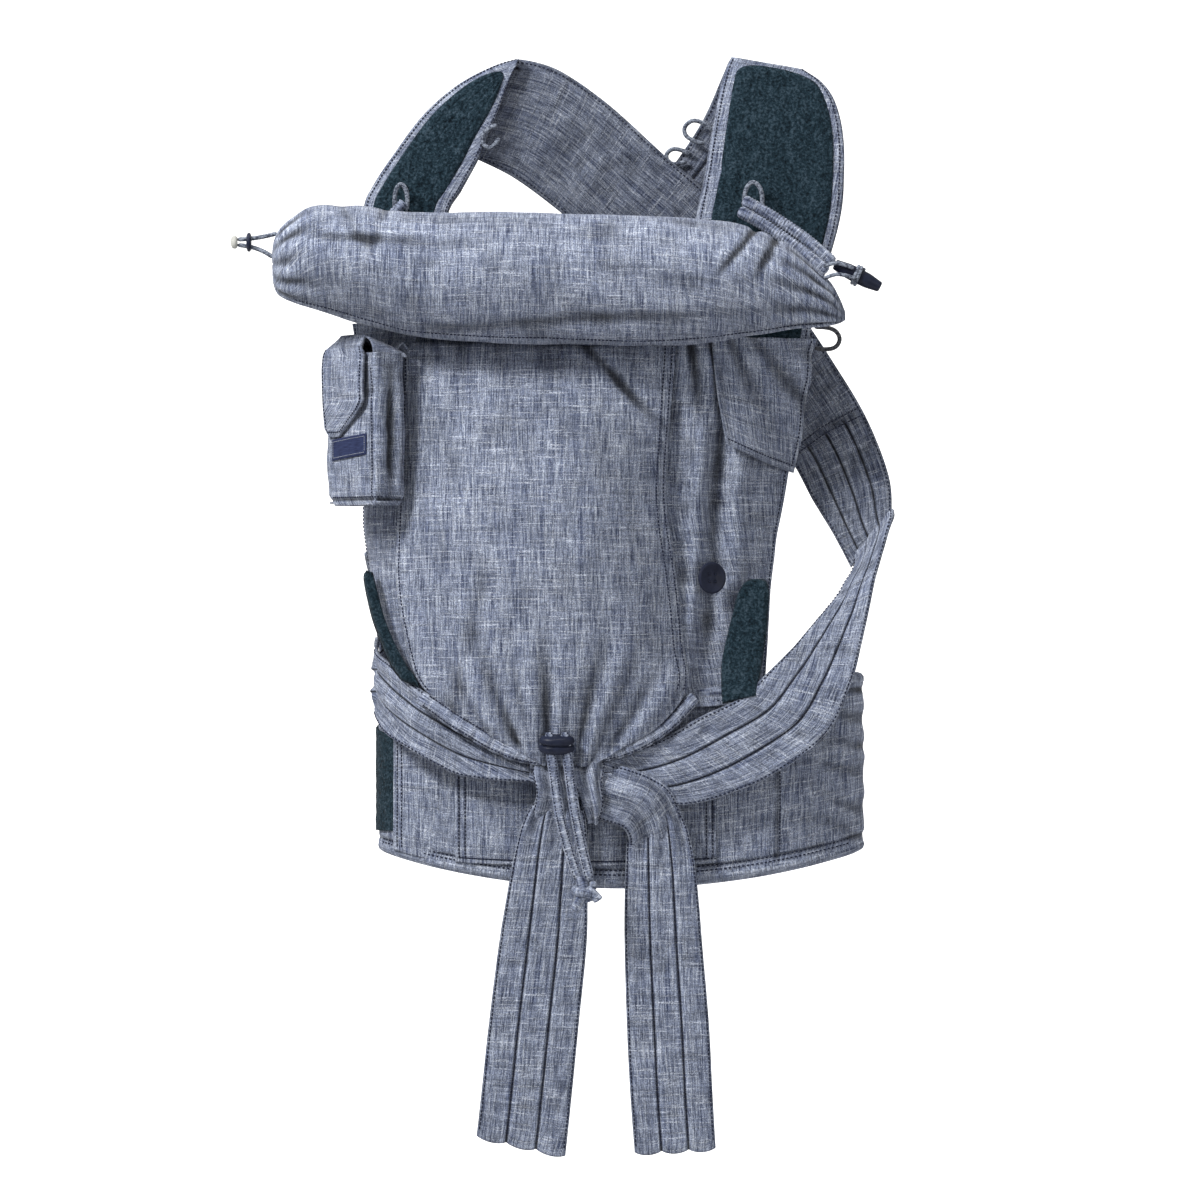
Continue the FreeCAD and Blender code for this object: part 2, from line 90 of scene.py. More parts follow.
def make_lights():
    for name, values in LIGHTS.items():
        area_light(name, *values)
    world = bpy.data.worlds.new("studio")
    bpy.context.scene.world = world
    world.use_nodes = True
    background = world.node_tree.nodes["Background"]
    background.inputs["Color"].default_value = (1, 1, 1, 1)
    background.inputs["Strength"].default_value = WORLD_LIGHT
    bpy.context.scene.view_settings.view_transform = "Standard"


def stage_material(name, glow):
    material = bpy.data.materials.new(name)
    material.use_nodes = True
    shader = material.node_tree.nodes["Principled BSDF"]
    shader.inputs["Base Color"].default_value = (0.85, 0.85, 0.85, 1)
    shader.inputs["Roughness"].default_value = 0.9
    shader.inputs["Emission Color"].default_value = (1, 1, 1, 1)
    shader.inputs["Emission Strength"].default_value = glow
    return material


def make_backdrop():
    """A pale floor well below the carrier, curving up into a white wall far behind it."""
    floor_z, wall_y, bend, half = -1.6, 7.0, 0.6, 9.0
    profile = [(-8.0, floor_z)]
    for step in range(9):
        angle = math.radians(90 * step / 8)
        profile.append((wall_y - bend + bend * math.sin(angle), floor_z + bend - bend * math.cos(angle)))
    profile.append((wall_y, 7.0))
    verts = [(x, y, z) for y, z in profile for x in (-half, half)]
    faces = [(2 * i, 2 * i + 1, 2 * i + 3, 2 * i + 2) for i in range(len(profile) - 1)]
    mesh = bpy.data.meshes.new("backdrop")
    mesh.from_pydata(verts, [], faces)
    mesh.shade_smooth()
    mesh.materials.append(stage_material("floor", 0.0))
    mesh.materials.append(stage_material("wall", 0.95))
    for face in mesh.polygons[1:]:
        face.material_index = 1
    backdrop = bpy.data.objects.new("backdrop", mesh)
    bpy.context.collection.objects.link(backdrop)


# ---------------------------------------------------------------- materials
class Nodes:
    """Builds a material's node tree around its Principled shader."""

    def __init__(self, name):
        self.material = bpy.data.materials.new(name)
        self.material.use_nodes = True
        self.tree = self.material.node_tree
        self.shader = self.tree.nodes["Principled BSDF"]

    def give(self, socket, value):
        """Links another node's output to the socket, or sets it to a number, a vector or a colour."""
        if isinstance(value, bpy.types.NodeSocket):
            self.tree.links.new(value, socket)
        elif socket.type == "RGBA":
            colour = (value, value, value) if isinstance(value, (int, float)) else value
            socket.default_value = (*colour, 1)
        else:
            socket.default_value = value

    def set(self, **values):
        """Gives the shader's inputs these values, with _ for a space in an input's name."""
        for key, value in values.items():
            self.give(self.shader.inputs[key.replace("_", " ")], value)

    def node(self, kind, inputs=None, **props):
        made = self.tree.nodes.new("ShaderNode" + kind)
        for key, value in props.items():
            setattr(made, key, value)
        for key, value in (inputs or {}).items():
            self.give(made.inputs[key], value)
        return made

    def coordinate(self, kind, scale, shift=(0, 0, 0)):
        place = self.node("TexCoord").outputs[kind]
        return self.node("Mapping", {"Scale": scale, "Location": shift, "Vector": place}).outputs["Vector"]

    def noise(self, vector, detail=2.0, rough=0.5, distortion=0.0):
        return self.node("TexNoise", {"Scale": 1.0, "Detail": detail, "Roughness": rough,
                                      "Distortion": distortion, "Vector": vector}).outputs["Fac"]

    def ramp(self, value, *stops):
        made = self.node("ValToRGB", {"Fac": value})
        elements = made.color_ramp.elements
        while len(elements) < len(stops):
            elements.new(0.5)
        for element, (place, colour) in zip(elements, stops):
            element.position = place
            if isinstance(colour, (int, float)):
                colour = (colour, colour, colour)
            element.color = (*colour, 1)
        return made.outputs["Color"]

    def mix(self, kind, factor, a, b):
        inputs = {"Factor": factor, "A": a, "B": b}
        return self.node("Mix", inputs, data_type="RGBA", blend_type=kind).outputs["Result"]

    def math(self, operation, a, b):
        return self.node("Math", {0: a, 1: b}, operation=operation).outputs["Value"]

    def bump(self, height, strength, distance):
        made = self.node("Bump", {"Strength": strength, "Distance": distance, "Height": height})
        self.set(Normal=made.outputs["Normal"])


def chambray(name, shade=1.0):
    """Slub-weave chambray: dark blue streaks along the warp, short white slubs across it, and painted shade
    in the grooves with painted highlight on the crests, from the mesh's painted shading mask attribute."""
    n = Nodes(name)

    def at(across, along, seed):
        return n.coordinate("UV", (across, along, along), (seed, seed * 1.7, seed * 0.6))

    broad_warp = n.noise(at(230, 14, 1.0), 3.0, 0.65)
    fine_warp = n.noise(at(900, 45, 2.0), 3.0, 0.65)
    slub = n.noise(at(36, 760, 3.0), 3.0, 0.6)
    broad_slub = n.noise(at(14, 260, 5.0), 3.0, 0.6)
    cloud = n.noise(at(16, 16, 4.0), 4.0, 0.6)
    thread = n.noise(at(1100, 1100, 6.0), 2.0, 0.6)
    base = n.ramp(fine_warp, (0.34, (0.040, 0.050, 0.086)), (0.50, (0.150, 0.172, 0.225)),
                  (0.68, (0.300, 0.325, 0.375)))
    streaks = n.ramp(broad_warp, (0.30, (0.42, 0.46, 0.58)), (0.48, (1.0, 1.0, 1.0)),
                     (0.75, (1.20, 1.18, 1.12)))
    colour = n.mix("MULTIPLY", 0.85, base, streaks)
    slub_places = n.ramp(slub, (0.54, 0.0), (0.66, 1.0))
    broken_slubs = n.math("MULTIPLY", slub_places, n.ramp(thread, (0.35, 0.15), (0.6, 1.0)))
    colour = n.mix("MIX", n.math("MULTIPLY", broken_slubs, 0.50), colour, (0.56, 0.59, 0.63))
    dark_weft = n.ramp(broad_slub, (0.30, 0.66), (0.48, 1.0), (0.72, 1.22))
    colour = n.mix("MULTIPLY", 0.8, colour, dark_weft)
    colour = n.mix("MULTIPLY", 0.6, colour, n.ramp(cloud, (0.3, 0.75), (0.7, 1.2)))
    colour = n.mix("MULTIPLY", 0.9, colour, n.ramp(thread, (0.34, 0.45), (0.66, 1.60)))
    # A shade below 1 darkens the whole colour as painted shade; the slight blue tint is the cloth's own.
    colour = n.mix("MULTIPLY", 1.0, colour, (shade * 0.985, shade * 0.99, shade * 1.03))
    # Painted shade and painted highlight: the relief's grooves are darkened and its crests lightened in the
    # colour itself.
    cavity = n.node("Attribute", attribute_name="cavity").outputs["Fac"]
    depth = n.math("ADD", n.math("MULTIPLY", cavity, 0.5), 0.5)
    painted_groove_shading = n.ramp(depth, (0.0, 0.15), (0.36, 0.75), (0.5, 1.0), (0.85, 1.22))
    colour = n.mix("MULTIPLY", 1.0, colour, painted_groove_shading)
    height = n.math("ADD", n.math("MULTIPLY", fine_warp, 0.6), n.math("MULTIPLY", slub, 0.7))
    height = n.math("ADD", height, n.math("MULTIPLY", thread, 0.5))
    n.bump(height, 0.7, 0.0013)
    n.set(Base_Color=colour, Roughness=n.ramp(slub, (0.3, 0.82), (0.7, 0.95)), Sheen_Weight=0.08,
          Sheen_Roughness=0.5, Specular_IOR_Level=0.15)
    return n.material


def terry(name):
    n = Nodes(name)
    pile = n.noise(n.coordinate("Object", (420, 420, 420)), 3.0, 0.7)
    ribs = n.noise(n.coordinate("Object", (130, 130, 60)), 2.0, 0.5, 1.0)
    both = n.math("ADD", n.math("MULTIPLY", pile, 0.9), n.math("MULTIPLY", ribs, 0.3))
    colour = n.ramp(both, (0.42, (0.002, 0.005, 0.008)), (0.60, (0.011, 0.024, 0.034)),
                    (0.80, (0.044, 0.068, 0.090)))
    n.bump(both, 0.9, 0.003)
    n.set(Base_Color=colour, Roughness=n.ramp(pile, (0.3, 0.9), (0.7, 1.0)), Sheen_Weight=0.04,
          Sheen_Roughness=0.4, Specular_IOR_Level=0.08)
    return n.material


def plastic(name, dark, light, rough=0.32):
    n = Nodes(name)
    cloud = n.noise(n.coordinate("Object", (60, 60, 60)), 3.0, 0.6)
    grain = n.noise(n.coordinate("Object", (1400, 1400, 1400)), 2.0, 0.6)
    n.bump(grain, 0.15, 0.0004)
    n.set(Base_Color=n.ramp(cloud, (0.35, dark), (0.7, light)),
          Roughness=n.ramp(cloud, (0.3, rough), (0.7, rough + 0.14)),
          Coat_Weight=0.04, Coat_Roughness=0.2, Specular_IOR_Level=0.14)
    return n.material


def braid(name, dark=(0.030, 0.036, 0.055), light=(0.215, 0.240, 0.290)):
    n = Nodes(name)
    speckle = n.noise(n.coordinate("Object", (700, 700, 700)), 2.0, 0.6)
    twist = n.noise(n.coordinate("Object", (260, 260, 500)), 1.0, 0.5)
    both = n.math("ADD", n.math("MULTIPLY", speckle, 0.6), n.math("MULTIPLY", twist, 0.4))
    n.bump(both, 0.8, 0.0012)
    n.set(Base_Color=n.ramp(both, (0.40, dark), (0.58, light)),
          Roughness=n.ramp(speckle, (0.3, 0.75), (0.7, 0.95)), Sheen_Weight=0.05, Specular_IOR_Level=0.15)
    return n.material


def woven_label(name):
    """A plain woven label: navy ground with a fine rib, no lettering."""
    n = Nodes(name)
    rib = n.noise(n.coordinate("UV", (120, 1500, 1)), 1.0, 0.5)
    cloud = n.noise(n.coordinate("UV", (200, 200, 1)), 2.0, 0.5)
    navy = n.ramp(rib, (0.3, (0.012, 0.016, 0.045)), (0.7, (0.030, 0.040, 0.095)))
    colour = n.mix("MULTIPLY", 0.6, navy, n.ramp(cloud, (0.3, 0.8), (0.7, 1.1)))
    n.bump(rib, 0.5, 0.0005)
    n.set(Base_Color=colour, Roughness=n.ramp(rib, (0.3, 0.5), (0.7, 0.7)), Specular_IOR_Level=0.1)
    return n.material


CHAMBRAY = chambray("chambray")
# A copy of the chambray darkened to 0.62 as painted shade, for the straps' rear parts and the belt lining.
CHAMBRAY_PAINTED_SHADE = chambray("chambray_painted_shade", 0.62)
TERRY = terry("terry")
NAVY = plastic("navy_plastic", (0.006, 0.008, 0.018), (0.016, 0.020, 0.040))
PALE = plastic("pale_plastic", (0.30, 0.30, 0.28), (0.45, 0.45, 0.42), 0.4)
BRAID = braid("elastic_braid")
DARK_BRAID = braid("dark_elastic_braid", (0.020, 0.021, 0.026), (0.085, 0.088, 0.10))
THREAD = braid("sewing_thread", (0.004, 0.006, 0.016), (0.022, 0.028, 0.055))
PALE_THREAD = braid("pale_thread", (0.16, 0.18, 0.24), (0.34, 0.37, 0.43))
LABEL = woven_label("label")


# ---------------------------------------------------------------- surfaces
def smooth_through(points, t):
    """Catmull-Rom through a list of arrays, t from 0 to 1."""
    points = np.asarray(points, float)
    last = len(points) - 1
    place = min(max(t, 0.0), 1.0) * last
    i = min(int(place), last - 1)
    f = place - i
    p1, p2 = points[i], points[i + 1]
    p0 = points[i - 1] if i > 0 else 2 * p1 - p2
    p3 = points[i + 2] if i + 2 <= last else 2 * p2 - p1
    return 0.5 * (2 * p1 + (p2 - p0) * f + (2 * p0 - 5 * p1 + 4 * p2 - p3) * f ** 2
                  + (3 * p1 - p0 - 3 * p2 + p3) * f ** 3)


def bell(x, middle, width):
    return math.exp(-((x - middle) / width) ** 2)


def ease(x, low, high):
    t = min(max((x - low) / (high - low), 0.0), 1.0)
    return t * t * (3 - 2 * t)


def ripple(p, scale, seed=0.0):
    """Smooth noise from -1 to 1, for folds; p in millimetres, scale in millimetres."""
    return noise.noise(Vector((p[0] / scale + seed, p[1] / scale - seed, p[2] / scale + 3.1 * seed)))


# Its result is the mask for painted shade in the grooves and painted highlight on the crests of the cloth.
def groove_depth(heights, wrap):
    """How far each point lies below (negative) or above its surroundings, from -1 to 1."""
    reach = 4
    padded = np.pad(heights, ((reach, reach), (0, 0)), mode="edge")
    padded = np.pad(padded, ((0, 0), (reach, reach)), mode="wrap" if wrap else "edge")
    around = np.zeros_like(heights)
    rows, columns = heights.shape
    for j in range(2 * reach + 1):
        for i in range(2 * reach + 1):
            around += padded[j:j + rows, i:i + columns]
    around /= (2 * reach + 1) ** 2
    return np.clip((heights - around) / 1.1, -1.0, 1.0)


class Surface:
    """A sheet of cloth given by point(u, v) in millimetres. Its face is on the side that outward points
    to, and relief(u, v, p) raises it there."""

    def __init__(self, point, relief=None, outward=(0, -1, 0)):
        self.point = point
        self.relief = relief
        self.outward = np.array(outward, float)
        self.grid = None

    def normal(self, u, v):
        step = 0.004
        du = self.point(min(u + step, 1), v) - self.point(max(u - step, 0), v)
        dv = self.point(u, min(v + step, 1)) - self.point(u, max(v - step, 0))
        n = np.cross(du, dv)
        n /= max(np.linalg.norm(n), 1e-9)
        return n if n @ self.outward >= 0 else -n

    def at(self, u, v, lift=0.0):
        if self.grid is not None:
            return self.from_grid(u, v, lift)
        p = self.point(u, v)
        n = self.normal(u, v)
        height = self.relief(u, v, p) if self.relief else 0.0
        return p + n * (height + lift)

    def from_grid(self, u, v, lift):
        """A place on the sheet already sampled, between its four nearest grid points."""
        front, normals = self.grid
        rows, columns = front.shape[:2]
        i = min(int(u * (columns - 1)), columns - 2)
        j = min(int(v * (rows - 1)), rows - 2)
        fu, fv = u * (columns - 1) - i, v * (rows - 1) - j
        weights = ((1 - fu) * (1 - fv), fu * (1 - fv), (1 - fu) * fv, fu * fv)
        corners = ((j, i), (j, i + 1), (j + 1, i), (j + 1, i + 1))
        return sum(w * (front[c] + normals[c] * lift) for w, c in zip(weights, corners))

    def grid_normals(self, us, vs, base):
        if type(self).normal is not Surface.normal:
            return np.array([[self.normal(u, v) for u in us] for v in vs])
        n = np.cross(np.gradient(base, axis=1), np.gradient(base, axis=0))
        n /= np.maximum(np.linalg.norm(n, axis=2, keepdims=True), 1e-9)
        return n * np.where(n @ self.outward >= 0, 1.0, -1.0)[..., None]

    def mesh(self, name, nu, nv, thick, material, body="harness", wrap=False, turned=False, planar=False):
        """Builds the sheet with a front, a back thick behind it, and closed edges. With wrap, u closes on
        itself; turned and planar choose how the weave lies."""
        us = np.linspace(0, 1, nu)
        vs = np.linspace(0, 1, nv)
        base = np.array([[self.point(u, v) for u in us] for v in vs])
        normals = self.grid_normals(us, vs, base)
        front = base
        cavity = np.zeros((nv, nu))
        if self.relief:
            heights = np.array([[self.relief(u, v, base[j, i]) for i, u in enumerate(us)]
                                for j, v in enumerate(vs)])
            front = base + normals * heights[..., None]
            # The relief's grooves and crests, kept as a mask for painted shade and painted highlight in the
            # cloth's colour.
            cavity = groove_depth(heights, wrap)
        self.grid = (front, normals)
        back = front - normals * thick
        across = np.zeros((nv, nu))
        across[:, 1:] = np.cumsum(np.linalg.norm(np.diff(front, axis=1), axis=2), axis=1)
        along = np.zeros((nv, nu))
        along[1:, :] = np.cumsum(np.linalg.norm(np.diff(front, axis=0), axis=2), axis=0)
        along[:] = along[:, nu // 2][:, None]
        verts = np.concatenate([front.reshape(-1, 3), back.reshape(-1, 3)]) * MM
        if turned:
            across, along = along, across
        if planar:
            across, along = front[..., 0], -1.1 * front[..., 2]
        uvs = np.stack([across, along], axis=2).reshape(-1, 2) * MM
        uvs = np.concatenate([uvs, uvs])
        cavity = np.concatenate([cavity.ravel(), cavity.ravel()])
        faces = sheet_faces(nu, nv, wrap)
        return mesh_piece(name, verts, faces, material, body, uvs, weld=wrap, cavity=cavity)


def sheet_faces(nu, nv, wrap):
    """The faces of a front grid of nu by nv points, of the back grid that follows it, and of the edges
    between the two; with wrap, the sides meet each other and have no edge."""
    count = nu * nv
    faces = []
    for j in range(nv - 1):
        for i in range(nu - 1):
            a = j * nu + i
            faces.append((a, a + 1, a + nu + 1, a + nu))
            faces.append((count + a, count + a + nu, count + a + nu + 1, count + a + 1))
    if not wrap:
        for j in range(nv - 1):
            a, b = j * nu, j * nu + nu - 1
            faces.append((a, a + nu, count + a + nu, count + a))
            faces.append((b, count + b, count + b + nu, b + nu))
    for i in range(nu - 1):
        a, b = i, (nv - 1) * nu + i
        faces.append((a, count + a, count + a + 1, a + 1))
        faces.append((b, b + 1, count + b + 1, count + b))
    return faces


def mesh_piece(name, verts, faces, material, body="harness", uvs=None, weld=False, cavity=None):
    mesh = bpy.data.meshes.new(name)
    mesh.from_pydata([tuple(v) for v in verts], [], faces)
    if uvs is not None:
        layer = mesh.uv_layers.new(name="UVMap")
        corners = np.empty(len(mesh.loops), np.int32)
        mesh.loops.foreach_get("vertex_index", corners)
        layer.data.foreach_set("uv", np.asarray(uvs, np.float32)[corners].ravel())
    # Stores the mask of painted shade and painted highlight that the chambray material reads.
    if cavity is not None:
        attribute = mesh.attributes.new("cavity", "FLOAT", "POINT")
        attribute.data.foreach_set("value", np.asarray(cavity, np.float32))
    mesh.materials.append(material)
    bm = bmesh.new()
    bm.from_mesh(mesh)
    if weld:
        bmesh.ops.remove_doubles(bm, verts=bm.verts, dist=1e-6)
    bmesh.ops.recalc_face_normals(bm, faces=bm.faces)
    bm.to_mesh(mesh)
    bm.free()
    mesh.shade_smooth()
    piece = bpy.data.objects.new(name, mesh)
    bpy.context.collection.objects.link(piece)
    if body:
        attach(piece, body)
    return piece


def stand_in(piece, slot, *nodes):
    """The piece is shown in place of these CAD nodes, which are hidden; slot is not used."""
    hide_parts(*nodes)


def apply_modifiers(piece):
    """Gives the piece the mesh that its modifiers make of it."""
    graph = bpy.context.evaluated_depsgraph_get()
    graph.update()
    made = bpy.data.meshes.new_from_object(piece.evaluated_get(graph), depsgraph=graph)
    old = piece.data
    piece.modifiers.clear()
    piece.data = made
    made.name = old.name
    made.shade_smooth()
    bpy.data.meshes.remove(old)


def strap_point(rows, crown=0.0, curl=0.0):
    """The face of a strap through rows of (x, z, x, z, y) edges, crowned across its width."""
    rows = [np.array([xa, y, za, xb, y, zb], float) for xa, za, xb, zb, y in rows]

    def point(u, v):
        both = smooth_through(rows, v)
        a, b = both[:3], both[3:]
        p = a + (b - a) * u
        bow = 4 * u * (1 - u)
        return p + np.array([0, -crown * bow + curl * (1 - bow), 0])
    return point


def stitch_row(surface, places, pitch, length, lift):
    """Points of a dashed seam along a polyline of (u, v) places: a list of (start, end) in millimetres."""
    dense = []
    steps = 24
    for (u0, v0), (u1, v1) in zip(places, places[1:]):
        dense += [(u0 + (u1 - u0) * i / steps, v0 + (v1 - v0) * i / steps) for i in range(steps)]
    dense.append(places[-1])
    line = np.array([surface.at(u, v, lift) for u, v in dense])
    gone = np.concatenate([[0], np.cumsum(np.linalg.norm(np.diff(line, axis=0), axis=1))])
    marks = np.arange(pitch * 0.3, gone[-1] - length, pitch)

    def along(s):
        return np.array([np.interp(s, gone, line[:, k]) for k in range(3)])
    return [(along(s), along(s + length)) for s in marks]


def stitches(name, dashes, material=THREAD, body="harness", radius=0.68):
    """One mesh of short thread capsules."""
    verts, faces = [], []
    sides = 5
    for start, end in dashes:
        axis = end - start
        size = np.linalg.norm(axis)
        if size < 1e-6:
            continue
        axis /= size
        side = np.cross(axis, (0.3, 0.9, 0.2))
        side /= np.linalg.norm(side)
        other = np.cross(axis, side)
        first = len(verts)
        for place, scale in ((0.0, 0.35), (0.2, 1.0), (0.8, 1.0), (1.0, 0.35)):
            for k in range(sides):
                turn = 2 * math.pi * k / sides
                offset = (side * math.cos(turn) + other * math.sin(turn)) * radius * scale
                verts.append((start + axis * size * place + offset) * MM)
        for ring in range(3):
            for k in range(sides):
                a = first + ring * sides + k
                b = first + ring * sides + (k + 1) % sides
                faces.append((a, b, b + sides, a + sides))
        faces.append(tuple(first + k for k in range(sides)))
        faces.append(tuple(first + 3 * sides + k for k in reversed(range(sides))))
    return mesh_piece(name, verts, faces, material, body)


def seams(name, surface, lines, pitch=3.4, length=2.5, lift=0.3, **look):
    """Stitches along several lines of one sheet, as one mesh."""
    dashes = []
    for line in lines:
        dashes += stitch_row(surface, line, pitch, length, lift)
    return stitches(name, dashes, **look)


# ---------------------------------------------------------------- cords
def in_metres(route):
    return [(x * MM, y * MM, z * MM) for x, y, z in route]


def nurbs_points(route, resolution=16):
    """Points along a smooth NURBS line whose control points are the route, in metres."""
    curve = bpy.data.curves.new("route", "CURVE")
    curve.dimensions = "3D"
    spline = curve.splines.new("NURBS")
    spline.points.add(len(route) - 1)
    for point, (x, y, z) in zip(spline.points, route):
        point.co = (x, y, z, 1)
    spline.order_u = 3
    spline.use_endpoint_u = True
    spline.resolution_u = resolution
    holder = bpy.data.objects.new("route", curve)
    bpy.context.collection.objects.link(holder)
    graph = bpy.context.evaluated_depsgraph_get()
    graph.update()
    mesh = bpy.data.meshes.new_from_object(holder.evaluated_get(graph), depsgraph=graph)
    points = [tuple(v.co) for v in mesh.vertices]
    bpy.data.objects.remove(holder)
    bpy.data.meshes.remove(mesh)
    return points


def tube(name, points, wide, deep, material, body, wave=0.0, sides=14):
    """A tube of oval section along points in metres, wide across the view and deep along Y."""
    points = [Vector(p) for p in points]
    verts, faces, uvs = [], [], []
    gone = 0.0
    side = None
    for i, p in enumerate(points):
        ahead = (points[min(i + 1, len(points) - 1)] - points[max(i - 1, 0)]).normalized()
        side = ahead.cross(Vector((0, -1, 0))) if side is None else side - ahead * side.dot(ahead)
        side.normalize()
        over = ahead.cross(side)
        if i:
            gone += (p - points[i - 1]).length
        end = min(i, len(points) - 1 - i)
        cap = (0.55, 0.85, 1.0)[min(end, 2)]
        swell = cap * (1 + wave * math.sin(gone / MM * 2 * math.pi / 3.0))
        for k in range(sides):
            turn = 2 * math.pi * k / sides
            verts.append(p + (side * math.cos(turn) * wide + over * math.sin(turn) * deep) * 0.5 * swell)
            uvs.append((k / sides * wide, gone))
    for i in range(len(points) - 1):
        for k in range(sides):
            a, b = i * sides + k, i * sides + (k + 1) % sides
            faces.append((a, b, b + sides, a + sides))
    faces.append(tuple(range(sides)))
    faces.append(tuple((len(points) - 1) * sides + k for k in reversed(range(sides))))
    return mesh_piece(name, verts, faces, material, body, uvs)


def free_cord(node, route, diameter, material, body, deep=None, wave=0.02):
    """A cord that lies along its own given route, shown in place of the CAD node."""
    route = in_metres(route)
    points = nurbs_points(route)
    piece = tube(node + "_cloth", points, diameter, deep or diameter, material, body, wave)
    stand_in(piece, "chambray" if material is CHAMBRAY else "cord", node)


CORD_D = 0.004
CORD_Y = -26.0
LOOPS = {
    "corner_loop_left": [(-186, CORD_Y, 516), (-188, CORD_Y, 531), (-181, CORD_Y, 543),
                         (-174, CORD_Y, 531), (-176, CORD_Y, 516)],
    "corner_loop_right": [(132, CORD_Y, 518), (130, CORD_Y, 532), (139, CORD_Y, 545),
                          (149, CORD_Y, 533), (147, CORD_Y, 518)],
    "strap_loop_left": [(-92, -5, 584), (-98, -5, 573), (-108, -5, 578), (-106, -5, 592), (-94, -5, 596)],
    "strap_loop_upper": [(104, 33, 594), (90, 33, 606), (76, 33, 598), (80, 33, 585), (96, 33, 582)],
    "strap_loop_lower": [(84, 39, 572), (70, 39, 580), (59, 39, 572), (66, 39, 561), (80, 39, 566)],
    "side_loop": [(196, -6, 411), (212, -6, 412), (221, -6, 400), (212, -6, 389), (196, -6, 392)]}
ROLL_Y = -95.0
ROLL_CORDS = {
    "roll_cord_upper": [(-290, ROLL_Y, 491), (-307, ROLL_Y, 486), (-325.2, ROLL_Y, 485.5)],
    "roll_cord_lower": [(-293.4, ROLL_Y, 469.4), (-306, ROLL_Y, 479.3), (-325.2, ROLL_Y, 480.5)]}
SEAT_Y = -126.0
SEAT_CORDS = {
    "seat_cord_left": [(-46, SEAT_Y, 44), (-38.5, SEAT_Y, -16), (-32, SEAT_Y, -50), (-19, SEAT_Y, -88)],
    "seat_cord_right": [(-32, SEAT_Y, 44), (-24.5, SEAT_Y, -16), (-18, SEAT_Y, -52), (-9, SEAT_Y, -88)]}
TAPE_D = 0.0095
TAPE_DEPTH = 0.006
SEAT_STITCH = 3.0        # from one stitch to the next, and each row's distance from the tape's middle


def cad(node):
    return bpy.data.objects[node]


def make_cords():
    for node, route in LOOPS.items():
        material = DARK_BRAID if node == "side_loop" else BRAID
        free_cord(node, route, CORD_D, material, "harness")
    for node, route in ROLL_CORDS.items():
        free_cord(node, route, CORD_D, BRAID, "head_roll")
    knot = make_seat_knot()
    for node, route in SEAT_CORDS.items():
        free_cord(node, route, TAPE_D, CHAMBRAY, "seat_cords", TAPE_DEPTH, 0.0)
        points = nurbs_points(route, 12)
        for side in (-1, 1):
            line = [Vector(p) + Vector((side * SEAT_STITCH, -2.4, 0)) for p in points]
            dashes = []
            for a, b in zip(line, line[1:]):
                steps = max(1, round((b - a).length / SEAT_STITCH))
                for k in range(steps):
                    start = a + (b - a) * (k / steps)
                    dashes.append((np.array(start), np.array(start + (b - a).normalized() * 1.7)))
            stitches(f"{node}_seam_{side + 1}", dashes, THREAD, "seat_cords", 0.6)


def make_seat_knot():
    """The overhand knot that ties the two seat cords: a bight, a wrap round it and two short tips."""
    turns = []
    for i in range(41):
        turn = 2 * math.pi * 1.35 * i / 40 - 0.6
        turns.append((-14 + 7.5 * math.cos(turn), SEAT_Y + 5.5 * math.sin(turn), -92 - 12 * i / 40))
    wrap = tube("seat_knot_wrap", in_metres(turns), 0.009, 0.0085, CHAMBRAY, "seat_cords", 0.0)
    stand_in(wrap, "chambray", "seat_cord_knot")
    strands = (("seat_knot_core", [(-17, SEAT_Y, -84), (-15, SEAT_Y, -96), (-12, -127, -108)], 0.011),
               ("seat_knot_tip_left", [(-15, -128, -100), (-19, -130, -108), (-23, -130, -115)], 0.009),
               ("seat_knot_tip_right", [(-12, -128, -96), (-5, -131, -100), (-1, -131, -106)], 0.009))
    for name, route, wide in strands:
        points = nurbs_points(in_metres(route))
        tube(name, points, wide, 0.0075, CHAMBRAY, "seat_cords", 0.0)
    return wrap


# ---------------------------------------------------------------- front panel, seat and wings
PANEL_THICK = 3.0
CLOTH = 1.8
PANEL_ROWS = [  # z, left x y, middle x y, right x y
    (394, -177, -62, -55, -70, 68, -62), (384, -178, -66, -55, -78, 68, -66),
    (330, -179, -67, -57, -100, 64, -68), (254, -182, -68, -60, -122, 60, -69),
    (180, -184, -68, -56, -133, 70, -70), (120, -174, -70, -48, -134, 76, -74),
    (84, -160, -78, -42, -129, 79, -84), (50, -118, -97, -38, -123, 54, -98),
    (27, -74, -108, -36, -117, 16, -110), (13, -50, -111, -36, -113, -8, -112)]


def bowed_point(rows):
    def point(u, v):
        z, xl, yl, xm, ym, xr, yr = smooth_through(rows, v)
        left, middle, right = (1 - u) * (1 - 2 * u), 4 * u * (1 - u), u * (2 * u - 1)
        return np.array([left * xl + middle * xm + right * xr, left * yl + middle * ym + right * yr, z])
    return point


def panel_relief(u, v, p):
    edge = min(1.0, 8 * u * (1 - u))
    low = ease(p[2], 190, 40) * edge
    spread = math.atan2(p[0] + 40, p[2] + 60)
    folds = (math.sin(spread * 23 + 0.9 * ripple(p, 60)) * 2.6 + math.sin(spread * 41 + 1.3) * 1.2) * low
    soft = (ripple(p, 70, 1.0) * 3.8 + ripple((p[0], p[1], p[2] * 0.5), 24, 2.0) * 1.5) * edge
    high = (math.sin(p[0] / 6.0 + 1.4 * ripple(p, 50, 5.0)) * 1.0) * ease(p[2], 320, 385) * edge
    diagonal = -3.2 * bell(p[0] + (p[2] - 345) * 0.9, 30, 9) * ease(p[2], 300, 370)
    pull = -2.0 * bell(p[0] - 0.25 * (p[2] - 120), -120, 11) * ease(p[2], 260, 120)
    return folds + soft + high + diagonal + pull


